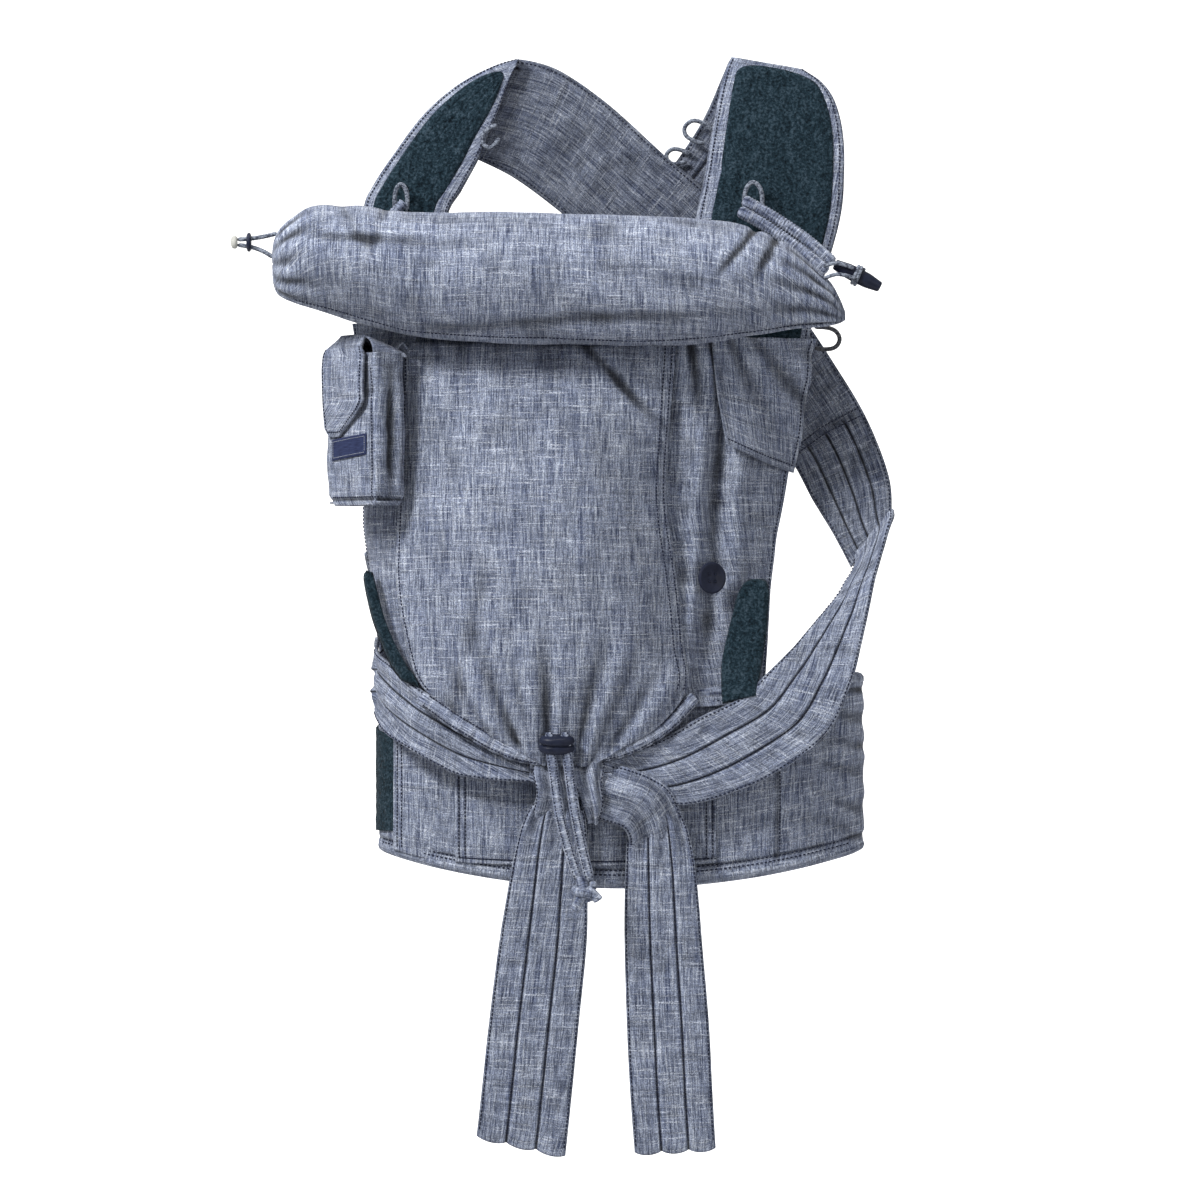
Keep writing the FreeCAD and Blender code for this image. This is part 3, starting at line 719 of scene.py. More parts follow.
def make_panel():
    surface = Surface(bowed_point(PANEL_ROWS), panel_relief)
    panel = surface.mesh("panel_cloth", 150, 210, PANEL_THICK, CHAMBRAY, planar=True)
    stand_in(panel, "chambray", "centre_panel", "gathered_seat")
    for label, places in (("left", [0.012]), ("right", [0.988, 0.962])):
        seams(f"panel_seam_{label}", surface, [[(u, 0.02), (u, 0.68)] for u in places])


SIDE_LEFT = [(414, -164, -56, -200, -34, -226, -10), (384, -168, -60, -204, -36, -222, -8),
             (283, -171, -60, -204, -36, -216, -8), (214, -173, -60, -204, -36, -214, -8),
             (150, -169, -60, -194, -38, -201, -10), (98, -156, -64, -178, -50, -186, -28),
             (52, -112, -76, -142, -66, -160, -52)]
SHOULDER_RIGHT = [(400, 101, -57.5, 146, -43, 198, -13), (384, 102, -58, 146, -44, 194, -14),
                  (340, 106, -57, 142, -45, 187, -13), (292, 114, -53, 142, -43, 177, -12)]
LOW_RIGHT = [(400, 58, -58, 126, -44, 190, -8), (384, 57, -60, 126, -44, 188, -9),
             (340, 53, -61, 124, -44, 180, -9), (288, 50, -62, 121, -43, 173, -9.5),
             (245, 50, -63, 117, -42, 166, -10), (195, 58, -64, 116, -42, 158, -12),
             (126, 66, -68, 116, -46, 153, -18), (86, 70, -74, 116, -54, 150, -28),
             (66, 74, -79, 114, -68, 146, -54)]


def slanted_hem(rows, drop):
    """A bowed sheet whose lower edge falls by drop millimetres from its inner to its outer side."""
    base = bowed_point(rows)

    def point(u, v):
        return base(u, v) - np.array([0, 0, drop * (u - 0.45) * ease(v, 0.2, 1.0)])
    return point


def shoulder_relief(u, v, p):
    fan = math.atan2(p[0] - 85, 470 - p[2])
    folds = math.sin(fan * 26) * 1.6 * ease(p[2], 285, 350)
    return folds + ripple(p, 45, 7.0) * 2.0 + 1.4 * (1 - ease(u, 0.0, 0.1))


def low_wing_relief(u, v, p):
    high = ease(p[2], 235, 340)
    line = 106 + 8 * high - 0.10 * max(0.0, 200 - p[2])
    valley = -7.0 * bell(p[0], line, 9.0) * ease(p[2], 78, 150)
    ridge = 4.0 * bell(p[0], line - 20, 8) + 2.5 * bell(p[0], line + 18, 9)
    fan = math.atan2(p[0] - 70, 460 - p[2])
    gathers = math.sin(fan * 24 + ripple(p, 40, 6.0)) * 2.2 * high * (1 - ease(p[0], 110, 130))
    creases = math.sin(p[2] / 9.0 + p[0] / 24 + 1.5 * ripple(p, 30, 5.0)) * 1.0 * bell(p[0], line - 22, 12)
    return valley + ridge + gathers + creases + ripple(p, 38, 9.0) * 1.8 + ripple(p, 16, 10.0) * 0.6


def make_wings():
    left = Surface(bowed_point(SIDE_LEFT), lambda u, v, p: ripple(p, 40, 4.0) * 1.6)
    piece = left.mesh("side_wing_left_cloth", 30, 110, CLOTH, CHAMBRAY)
    stand_in(piece, "chambray", "side_wing_left", "shoulder_wing_left")
    seams("wing_left_seam", left, [[(0.94, 0.02), (0.94, 0.98)]])
    upper = Surface(slanted_hem(SHOULDER_RIGHT, 26.0), shoulder_relief)
    piece = upper.mesh("shoulder_wing_right_cloth", 70, 60, CLOTH + 1.2, CHAMBRAY)
    stand_in(piece, "chambray", "shoulder_wing_right")
    seams("shoulder_wing_seam", upper, [[(0.03, 0.96), (0.97, 0.96)], [(0.96, 0.02), (0.96, 0.96)]])
    lower = Surface(bowed_point(LOW_RIGHT), low_wing_relief)
    piece = lower.mesh("side_wing_right_cloth", 110, 170, CLOTH, CHAMBRAY)
    stand_in(piece, "chambray", "side_wing_right")
    seams("side_wing_seam", lower, [[(0.965, 0.05), (0.965, 0.95)], [(0.05, 0.06), (0.05, 0.9)]])


CHANNEL = [(-158, 80, -166, 70, -85), (-116, 53, -124, 41, -99), (-68, 29, -74, 17, -105),
           (-22, 27, -20, 15, -107), (20, 33, 24, 22, -104), (55, 52, 61, 42, -94), (81, 79, 90, 70, -82)]


def make_channel():
    def gathers(u, v, p):
        pleats = math.sin(v * 150 + 2 * ripple(p, 20)) * 0.35
        return pleats + 1.8 * math.sin(math.pi * u) + ripple(p, 14, 3.0) * 0.9
    surface = Surface(strap_point(CHANNEL, 1.5), gathers)
    piece = surface.mesh("drawcord_channel_cloth", 12, 190, 4.0, CHAMBRAY)
    stand_in(piece, "chambray", "drawcord_channel")
    seams("channel_seam", surface, [[(u, 0.02), (u, 0.98)] for u in (0.1, 0.82)])


def make_hood_flap():
    rows = [np.array([-176, -58, 388, 66, -58, 388.0]), np.array([-178, -45, 405, 70, -45, 405.0]),
            np.array([-180, -34, 440, 100, -34, 440.0]), np.array([-180, -33, 500, 110, -33, 500.0])]

    def point(u, v):
        both = smooth_through(rows, v)
        return both[:3] + (both[3:] - both[:3]) * u
    surface = Surface(point, lambda u, v, p: ripple(p, 40, 8.0) * 1.0)
    piece = surface.mesh("hood_flap_cloth", 60, 30, 1.6, CHAMBRAY)
    stand_in(piece, "chambray", "hood_flap")


# ---------------------------------------------------------------- rolled head support
ROLL_STATIONS = [  # x, z, radius
    (-294, 463, 5), (-293, 463, 18), (-288, 464, 29), (-274, 467, 39), (-255, 469, 46.5),
    (-216, 463, 52.5), (-169, 453.5, 56), (-110, 451.5, 57.5), (-45, 449.5, 58.5), (30, 448, 58),
    (90, 447.5, 55.5), (130, 447, 50), (171, 441.5, 37), (202, 430, 22), (214, 422, 12), (220, 417, 4)]


def roll_point(u, v):
    x, z, radius = smooth_through(ROLL_STATIONS, v)
    turn = 2 * math.pi * u
    return np.array([x, ROLL_Y - radius * math.sin(turn), z + radius * math.cos(turn)])


class RollSurface(Surface):
    def normal(self, u, v):
        before = smooth_through(ROLL_STATIONS, max(v - 0.01, 0))
        ahead = smooth_through(ROLL_STATIONS, min(v + 0.01, 1)) - before
        turn = 2 * math.pi * u
        lean = math.atan2(-ahead[2], max(ahead[0], 1e-3))
        n = np.array([math.sin(lean), -math.sin(turn) * math.cos(lean), math.cos(turn) * math.cos(lean)])
        return n / np.linalg.norm(n)


def roll_relief(u, v, p):
    turn = 2 * math.pi * u
    near_left = ease(p[0], -235, -292)
    near_right = ease(p[0], 120, 210)
    gathers = math.sin(turn * 11 + 1.0 * ripple(p, 30)) * (1.2 * near_left + 1.2 * near_right)
    left_folds = bell(p[0] + 0.6 * (p[2] - 500), -222, 9) + 0.7 * bell(p[0] - 0.3 * (p[2] - 500), -196, 7)
    top_left = -1.9 * left_folds * ease(p[2], 455, 500)
    right_folds = bell(p[0] - 0.8 * (p[2] - 480), 128, 5) + bell(p[0] - 0.5 * (p[2] - 470), 150, 5)
    top_right = -3.0 * right_folds * ease(p[2], 440, 475)
    sag = -1.7 * bell(p[2] - 0.05 * p[0], 411, 7) * bell(p[0], -60, 200)
    fold = -2.2 * bell(p[2] + 0.04 * p[0], 476, 7) * bell(p[0], -210, 60)
    soft = ripple((p[0], p[1] * 2, p[2] * 2), 85, 11.0) * 3.0 + ripple(p, 30, 12.0) * 0.9
    return (gathers + top_left + top_right + sag + fold + soft) * ease(abs(p[0] + 40), 262, 240)


def make_roll():
    surface = RollSurface(roll_point, roll_relief)
    roll = surface.mesh("head_roll_cloth", 112, 260, 2.4, CHAMBRAY, "head_roll", wrap=True, turned=True)
    stand_in(roll, "chambray", "head_roll_cover", "head_roll_padding")
    seams("head_roll_seam", surface, [[(0.44, 0.2), (0.44, 0.86)]], body="head_roll")


# ---------------------------------------------------------------- hip belt
BELT_X, BELT_A, BELT_B = 19.0, 222.0, 75.0
BELT_BOTTOM, HEM_RADIUS = -94.0, 803.0


def belt_top(x):
    return 92.0 - 0.0926 * (BELT_X + BELT_A - x)


def belt_bottom(x):
    across = x - BELT_X
    return BELT_BOTTOM + HEM_RADIUS - math.sqrt(HEM_RADIUS ** 2 - across ** 2)


def on_belt(turn, out):
    """The x and y of the belt's oval at this turn, out millimetres beyond it."""
    return BELT_X + (BELT_A + out) * math.cos(turn), (BELT_B + out) * math.sin(turn)


def belt_point(out):
    def point(u, v):
        x, y = on_belt(math.pi + 2 * math.pi * u, out)    # from the left end, round the front first
        return np.array([x, y, belt_bottom(x) + (belt_top(x) - belt_bottom(x)) * v])
    return point


class Ring(Surface):
    def __init__(self, point, relief=None, inside=False):
        super().__init__(point, relief)
        self.sign = -1 if inside else 1

    def normal(self, u, v):
        turn = math.pi + 2 * math.pi * u
        n = np.array([math.cos(turn) / BELT_A, math.sin(turn) / BELT_B, 0])
        return self.sign * n / np.linalg.norm(n)


def belt_relief(u, v, p):
    right = bell(p[0], 245, 38) + 0.4 * bell(p[0], -203, 26)
    quilt = math.sin(p[2] / 4.2 + p[0] / 14.0 + 2 * ripple(p, 30)) * 0.8 * right * (1 if p[1] < 30 else 0.5)
    soft = ripple(p, 60, 14.0) * 1.8 + ripple(p, 24, 15.0) * 0.6
    hem = -1.1 * bell(v, 0.075, 0.012) - 0.9 * bell(v, 0.93, 0.012)
    seam = -1.0 * bell(p[0], 160, 2.0) if p[1] < 0 else 0.0
    edge = -2.0 * (1 - ease(v, 0, 0.02)) - 2.0 * (1 - ease(1 - v, 0, 0.02))
    return quilt + soft + hem + seam + edge


def make_belt():
    outer = Ring(belt_point(0), belt_relief)
    cover = outer.mesh("belt_cloth", 420, 64, 4.5, CHAMBRAY, wrap=True)
    stand_in(cover, "chambray", "belt_outer_cover", "belt_foam")
    inner = Ring(belt_point(-11.0), lambda u, v, p: ripple(p, 50, 16.0) * 0.8, inside=True)
    lining = inner.mesh("belt_lining_cloth", 240, 36, 1.6, CHAMBRAY_PAINTED_SHADE, wrap=True)
    stand_in(lining, "chambray", "belt_lining")
    for name, edge in (("belt_binding_bottom", 0.012), ("belt_binding_top", 0.988)):
        points = [outer.at(i / 220, edge, -5.2) * MM for i in range(221)]
        tube(name, points, 0.0125, 0.0125, CHAMBRAY, "harness", 0.0, 10)
    dashes = []
    for v in (0.05, 0.075, 0.95):
        dashes += stitch_row(outer, [(0.03 + i * 0.018, v) for i in range(24)], 4.2, 2.6, 0.3)
    dashes += stitch_row(outer, [(0.362, 0.1), (0.362, 0.9)], 3.4, 2.5, 0.3)
    stitches("belt_seams", dashes)
    make_belt_pocket()
    make_belt_end()


def make_belt_pocket():
    """The flat pocket sewn on the front of the belt, with two rows of stitches round three sides."""

    def patch_point(u, v):
        x = -131 + 236 * u
        across = (x - BELT_X) / BELT_A
        return np.array([x, -BELT_B * math.sqrt(1 - across ** 2) - 2.6, -78 + 108 * v + 3 * (2 * u - 1) ** 2])

    def patch_relief(u, v, p):
        beside = min(u, 1 - u)
        seams = bell(beside, 0.014, 0.006) + bell(beside, 0.038, 0.006) + 0.8 * bell(v, 0.04, 0.012)
        return ripple(p, 40, 17.0) * 1.0 - 0.8 * seams
    patch = Surface(patch_point, patch_relief)
    piece = patch.mesh("belt_pocket_cloth", 120, 50, 1.4, CHAMBRAY)
    stand_in(piece, "chambray", "belt_pocket_patch")
    outlines = [[(inset, 0.98), (inset, 0.04), (1 - inset, 0.04), (1 - inset, 0.98)]
                for inset in (0.014, 0.038)]
    seams("belt_pocket_seams", patch, outlines, 3.4, 2.6)


def make_belt_end():
    """The loop tape on the belt's left end and the flap that closes over it."""
    def tape_point(u, v):
        x, y = on_belt(math.pi - 0.13 + 0.58 * u, 1.8)
        return np.array([x, y, -48 + (96 - 10 * u) * v])
    tape = Surface(tape_point, lambda u, v, p: ripple(p, 6, 18.0) * 0.6, outward=(-1, -0.6, 0))
    piece = tape.mesh("belt_loop_tape_cloth", 24, 60, 1.6, TERRY)
    stand_in(piece, "terry", "belt_loop_tape")

    def flap_point(u, v):
        x, y = on_belt(math.pi + 0.40 + 0.34 * u, 2.4)
        low = belt_bottom(x) + 2
        return np.array([x, y, low + (belt_top(x) - 3 - low) * v])
    flap = Surface(flap_point, lambda u, v, p: ripple(p, 35, 19.0) * 0.8 - 1.6 * ease(u, 0.5, 1.0))
    piece = flap.mesh("belt_closing_flap", 40, 60, 2.4, CHAMBRAY)
    seams("belt_flap_seams", flap, [[(u, 0.03), (u, 0.97)] for u in (0.12, 0.24)])


# ---------------------------------------------------------------- shoulder straps
LEFT_RISE = [(-222, 412, -140, 396, -13), (-219, 470, -142, 466, -10), (-216, 519, -139, 514, -8),
             (-207, 541, -126, 538, -6), (-188, 570, -112, 564, -4), (-161, 606, -104, 583, -2),
             (-130, 633, -95, 604, 0), (-98, 650, -86, 629, 1), (-74, 657, -78, 650, 2)]
RIGHT_RISE = [(92, 390, 188, 388, -13), (80, 440, 200, 440, -10), (86, 503, 219, 509, -8),
              (94, 543, 223, 551, -6), (101, 585, 222, 588, -4), (108, 622, 215, 617, -2),
              (115, 648, 203, 635, -1), (120, 658, 186, 647, 0)]
LEFT_REAR = [(-88, 655, -126, 572, 11), (-70, 657, -113, 566, 12), (-36, 647, -80, 550, 17),
             (8, 617, -46, 526, 24), (56, 574, -8, 494, 29), (96, 540, 26, 460, 33),
             (135, 495, 66, 420, 36), (175, 440, 108, 365, 39), (211, 387, 145, 325, 38),
             (245, 330, 176, 290, 34), (265, 277, 195, 255, 24), (267, 244, 212, 226, 10),
             (265, 236, 229, 192, -1)]
LEFT_FRONT = [(267, 246, 231, 202, 3), (265, 234, 229, 190, -10), (252, 190, 214, 166, -26),
              (244, 155, 198, 147, -42), (236, 122, 175, 121, -62), (226, 86, 150, 96, -79),
              (205, 42, 125, 74, -86),
              (160, 7, 88, 56, -88), (118, -12, 57, 38, -91), (76, -22, 30, 27, -95),
              (42, -16, 10, 20, -101), (12, -8, -6, 15, -104)]
RIGHT_REAR = [(116, 652, 196, 624, 38), (94, 603, 178, 558, 43), (62, 555, 135, 505, 46),
              (20, 500, 92, 445, 48), (-30, 435, 42, 380, 50), (-80, 365, -10, 310, 50),
              (-125, 295, -58, 243, 49), (-165, 225, -104, 170, 46), (-190, 165, -150, 98, 36),
              (-202, 130, -198, 62, 10)]
RIGHT_FRONT = [(-203, 128, -202, 60, 4), (-203, 115, -204, 57, -20), (-188, 102, -194, 42, -52),
               (-162, 82, -174, 29, -72), (-131, 63, -134, 7, -85), (-100, 45, -104, 1, -91),
               (-62, 22, -62, -1, -95)]


def channels(count, depth=1.2, edge=1.4, soft=1.4, seed=20.0, pleat=0.0, start=-1.0):
    """The relief of a stitched strap: sewn channels along it, thin edges and soft waves."""
    def relief(u, v, p):
        seams = sum(bell(u, k / count, 0.017) for k in range(1, count)) * ease(v, start, start + 0.02)
        edges = 1 - min(1.0, 14 * u * (1 - u))
        waves = ripple(p, 34, seed) * soft + ripple(p, 13, seed + 1) * soft * 0.35
        deep = pleat * math.sin(u * 2 * math.pi * 2.2 + 0.8 + ripple(p, 45, seed + 2))
        return waves + deep - depth * seams - edge * edges
    return relief


def strap(name, rows, nodes, material, relief, places, nv):
    surface = Surface(strap_point(rows), relief)
    stand_in(surface.mesh(name, 80, nv, 2.4, material), "chambray", *nodes)
    seams(name + "_seams", surface, [[(u, k / 12) for k in range(13)] for u in places], 4.0, 2.4)


def inset_point(rows, low, high, top):
    """The lining's face: the strap's face between two lines along it, with a rounded top."""
    base = strap_point(rows)

    def point(u, v):
        reach = 0.86
        narrow = math.sqrt(max(0.0, 1 - ((v - reach) / (1 - reach)) ** 2)) if v > reach else 1.0
        narrow = 0.12 + 0.88 * narrow
        middle = (low + high) / 2
        return base(middle + (high - low) * (u - 0.5) * narrow, top * v)
    return point


def lining_relief(u, v, p):
    edge = min(1.0, 10 * u * (1 - u)) * min(1.0, 14 * (1.001 - v))
    ribs = sum(bell(u, k / 5, 0.02) for k in range(1, 5))
    return 2.6 * edge ** 0.6 + ripple(p, 16, 25.0) * 0.7 * edge - 0.5 * ribs + ripple(p, 5, 26.0) * 0.3


def make_straps():
    def padded(u, v, p):
        across = min(1.0, 9 * u * (1 - u))
        return 2.4 * across ** 0.5 + ripple(p, 40, 30.0) * 1.6 * across
    pads = (("left", LEFT_RISE, 0.11, 0.84, 0.90), ("right", RIGHT_RISE, 0.11, 0.92, 0.95))
    for side, rows, low, high, top in pads:    # the lining runs between low and high, and up to top
        surface = Surface(strap_point(rows), padded)
        pad = surface.mesh(f"strap_{side}_pad_cloth", 60, 130, 10.0, CHAMBRAY)
        stand_in(pad, "chambray", f"strap_{side}_cover", f"strap_{side}_foam")
        lines = [[(u, k / 14) for k in range(15)] for u in (0.035, 0.965)]
        seams(f"strap_{side}_pad_seams", surface, lines)
        lining = inset_point(rows, low, high, top)
        face = Surface(lambda u, v, lining=lining: lining(u, v) + np.array([0, -2.6, 0]), lining_relief)
        piece = face.mesh(f"strap_{side}_lining_cloth", 60, 150, 3.0, TERRY)
        stand_in(piece, "terry", f"strap_{side}_lining")
    strap("strap_left_back_cloth", LEFT_REAR, ["strap_left_rear", "strap_left_crossing"], CHAMBRAY_PAINTED_SHADE,
          channels(4, 2.2, 1.2, 2.2, 40.0, start=0.73), (0.03, 0.97), nv=320)
    lines = [[(0.04, v + 0.005), (0.5, v), (0.96, v + 0.005)] for v in (0.73, 0.74)]
    seams("strap_left_padding_end", Surface(strap_point(LEFT_REAR)), lines, lift=1.2)
    strap("strap_left_front_cloth", LEFT_FRONT, ["strap_left_front"], CHAMBRAY,
          channels(3, 2.2, 1.4, 1.8, 43.0, 0.5), (0.03, 1 / 3, 2 / 3, 0.97), nv=190)
    strap("strap_right_back_cloth", RIGHT_REAR, ["strap_right_rear", "strap_right_crossing"], CHAMBRAY_PAINTED_SHADE,
          channels(4, 2.0, 1.2, 2.0, 46.0), (0.03, 0.25, 0.5, 0.75, 0.97), nv=300)
    strap("strap_right_front_cloth", RIGHT_FRONT, ["strap_right_front"], CHAMBRAY,
          channels(3, 2.0, 1.4, 1.6, 49.0, 1.8), (0.03, 0.97), nv=140)

    def fold_point(u, v):
        turn = math.pi * v
        y, lift = 18 - 17 * math.cos(turn), 5 * math.sin(turn)
        return np.array([119 + 0.3 * lift + 72 * u, y, 654 + lift - (6 + 9 * u) * u])
    fold = Surface(fold_point, lambda u, v, p: ripple(p, 30, 52.0) * 1.2, outward=(0.2, 0, 1))
    piece = fold.mesh("strap_right_fold_cloth", 44, 26, 3.4, CHAMBRAY)
    stand_in(piece, "chambray", "strap_right_fold")


# ---------------------------------------------------------------- knot and tails
KNOT_BANDS = {
    "knot_under": ([(-64, -1, -62, 24, -96), (-30, -14, -28, 18, -99), (0, -16, 2, 14, -100),
                    (20, -14, 20, 10, -97)], 3.0),
    "knot_left": ([(-62, 24, -28, 24, -98), (-60, 6, -27, 4, -107), (-57, -12, -22, -14, -103),
                   (-63, -36, -16, -38, -87)], 3.0),
    "knot_arch": ([(-12, -32, 0, 16, -101), (6, -38, 24, 13, -107), (19, -42, 48, 4, -107),
                   (25, -50, 66, -11, -101), (26, -62, 78, -42, -88)], 3.5),
    "knot_tongue": ([(-28, 17, 8, 23, -101), (-25, 7, 5, 9, -111), (-20, -8, 3, -6, -115),
                     (-14, -25, 4, -22, -115), (-9, -37, -1, -39, -107)], 5.0)}


def knot_relief(u, v, p):
    pleats = math.sin(u * 2 * math.pi * 1.9 + 1.2 * v + 0.6 * ripple(p, 25, 61.0)) * 1.7
    return pleats + ripple(p, 18, 60.0) * 1.2 - 1.5 * (1 - min(1.0, 14 * u * (1 - u)))


def make_knot():
    for name, (rows, crown) in KNOT_BANDS.items():
        surface = Surface(strap_point(rows, crown, 3.0), knot_relief)
        piece = surface.mesh(name, 44, 90, 4.0, CHAMBRAY)
        if name == "knot_under":
            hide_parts("strap_knot")
        lines = [[(u, k / 10) for k in range(11)] for u in (0.05, 0.95)]
        seams(name + "_seams", surface, lines, 3.6, 2.2)


TAIL_Y = -91.0
TAIL_LEFT = [(-52, -10, -22, -10, TAIL_Y), (-67, -32, -14, -30, TAIL_Y), (-76, -61, -11, -60, TAIL_Y),
             (-84, -105, -11, -105, TAIL_Y), (-91, -148, -12, -148, TAIL_Y), (-100, -219, -19, -219, TAIL_Y),
             (-106, -275, -25, -280, TAIL_Y), (-111, -320, -31, -338, TAIL_Y)]
TAIL_RIGHT = [(28, -14, 66, -20, TAIL_Y), (25, -32, 78, -42, TAIL_Y), (23, -70, 85, -74, TAIL_Y),
              (22, -110, 89, -110, TAIL_Y), (22, -148, 92, -148, TAIL_Y), (24, -219, 98, -219, TAIL_Y),
              (27, -280, 101, -278, TAIL_Y), (31, -335, 104, -331, TAIL_Y)]


def tail_relief(seed, arch):
    flat = channels(3, 2.4, 1.4, 1.9, seed)

    def relief(u, v, p):
        gather = 1 - ease(v, 0.0, 0.42)
        pleats = math.sin(u * 2 * math.pi * 3.0 + 0.6) * 3.4 * gather
        return flat(u, v, p) + pleats + arch * 4 * u * (1 - u) * gather
    return relief


def scalloped(rows):
    base = strap_point(rows)

    def point(u, v):
        p = base(u, v)
        scallop = 3.4 * abs(math.sin(3 * math.pi * u)) ** 0.7 - 1.0
        return p - np.array([0, 0, scallop * ease(v, 0.95, 1.0)])
    return point


def make_tails():
    for side, rows, hinge_x in (("left", TAIL_LEFT, -51), ("right", TAIL_RIGHT, 57)):
        seed = 70.0 if side == "left" else 75.0
        surface = Surface(scalloped(rows), tail_relief(seed, 3.0))
        tail = surface.mesh(f"tail_{side}_cloth", 84, 190, 2.2, CHAMBRAY, None)
        stand_in(tail, "chambray", f"tail_{side}_upper", f"tail_{side}_end")
        lines = [[(u, k / 14) for k in range(14)] + [(u, 0.985)] for u in (0.025, 1 / 3, 2 / 3, 0.975)]
        sewn = seams(f"tail_{side}_seams", surface, lines, 3.8, 3.0, body=None)
        for piece in (tail, sewn):
            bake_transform(piece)


# ---------------------------------------------------------------- leg padding
PAD_RIGHT = [(137, 181, 146, 181, -57), (130, 177, 151, 178, -57), (124, 166, 153, 167, -59),
             (120, 150, 152, 152, -60), (116, 135, 151, 138, -63), (110, 108, 147, 111, -70),
             (109, 86, 143, 90, -80), (110, 70, 140, 76, -86)]
PAD_LEFT = [(-212, 189, -206, 187, -44), (-214, 181, -203, 176, -45), (-206, 148, -193, 140, -53),
            (-192, 113, -177, 106, -65), (-178, 92, -163, 86, -76)]


def make_leg_pads():
    def pile(u, v, p):
        edge = min(1.0, 8 * u * (1 - u)) * min(1.0, 12 * v * (1 - v) + 0.1)
        return 4.0 * edge ** 0.6 + ripple(p, 5, 80.0) * 0.35 + ripple(p, 18, 81.0) * 0.6
    for side, rows, nu in (("right", PAD_RIGHT, 40), ("left", PAD_LEFT, 24)):
        surface = Surface(strap_point(rows), pile)
        pad = surface.mesh(f"leg_pad_{side}_cloth", nu, 90, 5.0, TERRY)
        stand_in(pad, "terry", f"leg_pad_{side}")


# ---------------------------------------------------------------- hanging pouch
POUCH_CORNER = np.array([-200.0, -110.0, 247.0])
POUCH_YAW = 50.0
POUCH_W, POUCH_D, POUCH_H = 75.0, 33.0, 137.0
FLAP_DROP = 68.0


def from_pouch(x, y, z):
    """From the pouch's own frame (x along its width from the near corner, y into its depth)."""
    c, s = math.cos(math.radians(POUCH_YAW)), math.sin(math.radians(POUCH_YAW))
    return POUCH_CORNER + np.array([x * c + y * s, -x * s + y * c, z])


OUT_OF_POUCH = from_pouch(0, -1, 0) - POUCH_CORNER


def pouch_outline(u):
    """The place u of the way round the pouch's rounded rectangle, and the direction out of it there."""
    w, d, r = POUCH_W, POUCH_D, 8.0
    runs = [w - 2 * r, math.pi / 2 * r, d - 2 * r, math.pi / 2 * r] * 2
    s = (u % 1.0) * sum(runs)
    cx, cy = w / 2 - r, d / 2 - r
    centres = [(cx, -cy), (cx, cy), (-cx, cy), (-cx, -cy)]
    starts = [(-w / 2 + r, -d / 2), (w / 2, -d / 2 + r), (w / 2 - r, d / 2), (-w / 2, d / 2 - r)]
    heads = [(1, 0), (0, 1), (-1, 0), (0, -1)]
    for side in range(4):
        straight, arc = runs[2 * side], runs[2 * side + 1]
        if s <= straight:
            (x, y), (hx, hy) = starts[side], heads[side]
            return x + hx * s, y + hy * s, hy, -hx
        s -= straight
        if s <= arc:
            cx, cy = centres[side]
            turn = math.pi / 2 * (side - 1) + s / r
            return cx + r * math.cos(turn), cy + r * math.sin(turn), math.cos(turn), math.sin(turn)
        s -= arc
    return pouch_outline(0.0)


def pouch_wall_point(u, v):
    x, y, _, _ = pouch_outline(u)
    sag = 1 + 0.05 * math.sin(math.pi * min(v * 1.2, 1.0))
    taper = 1 - 0.14 * (1 - min(v / 0.09, 1.0)) ** 2
    return from_pouch(x * sag * taper - POUCH_W / 2, y * sag * taper + POUCH_D / 2, POUCH_H * v)


class PouchWall(Surface):
    """The pouch's side wall: u goes round the rounded rectangle, v goes up."""

    def normal(self, u, v):
        _, _, nx, ny = pouch_outline(u)
        n = from_pouch(nx, ny, 0) - POUCH_CORNER
        return n / np.linalg.norm(n)


def pouch_relief(u, v, p):
    gusset = -5.5 * bell(u, 0.395, 0.030) * math.sin(math.pi * min(1.0, v * 1.05))
    far_gusset = -4.0 * bell(u, 0.895, 0.022)
    piping = 1.1 * (bell(u, 0.315, 0.008) + bell(u, 0.475, 0.008))
    soft = ripple(p, 26, 90.0) * 1.5 + ripple(p, 11, 91.0) * 0.6
    return gusset + far_gusset + piping + soft - 1.2 * bell(v, 0.04, 0.012)


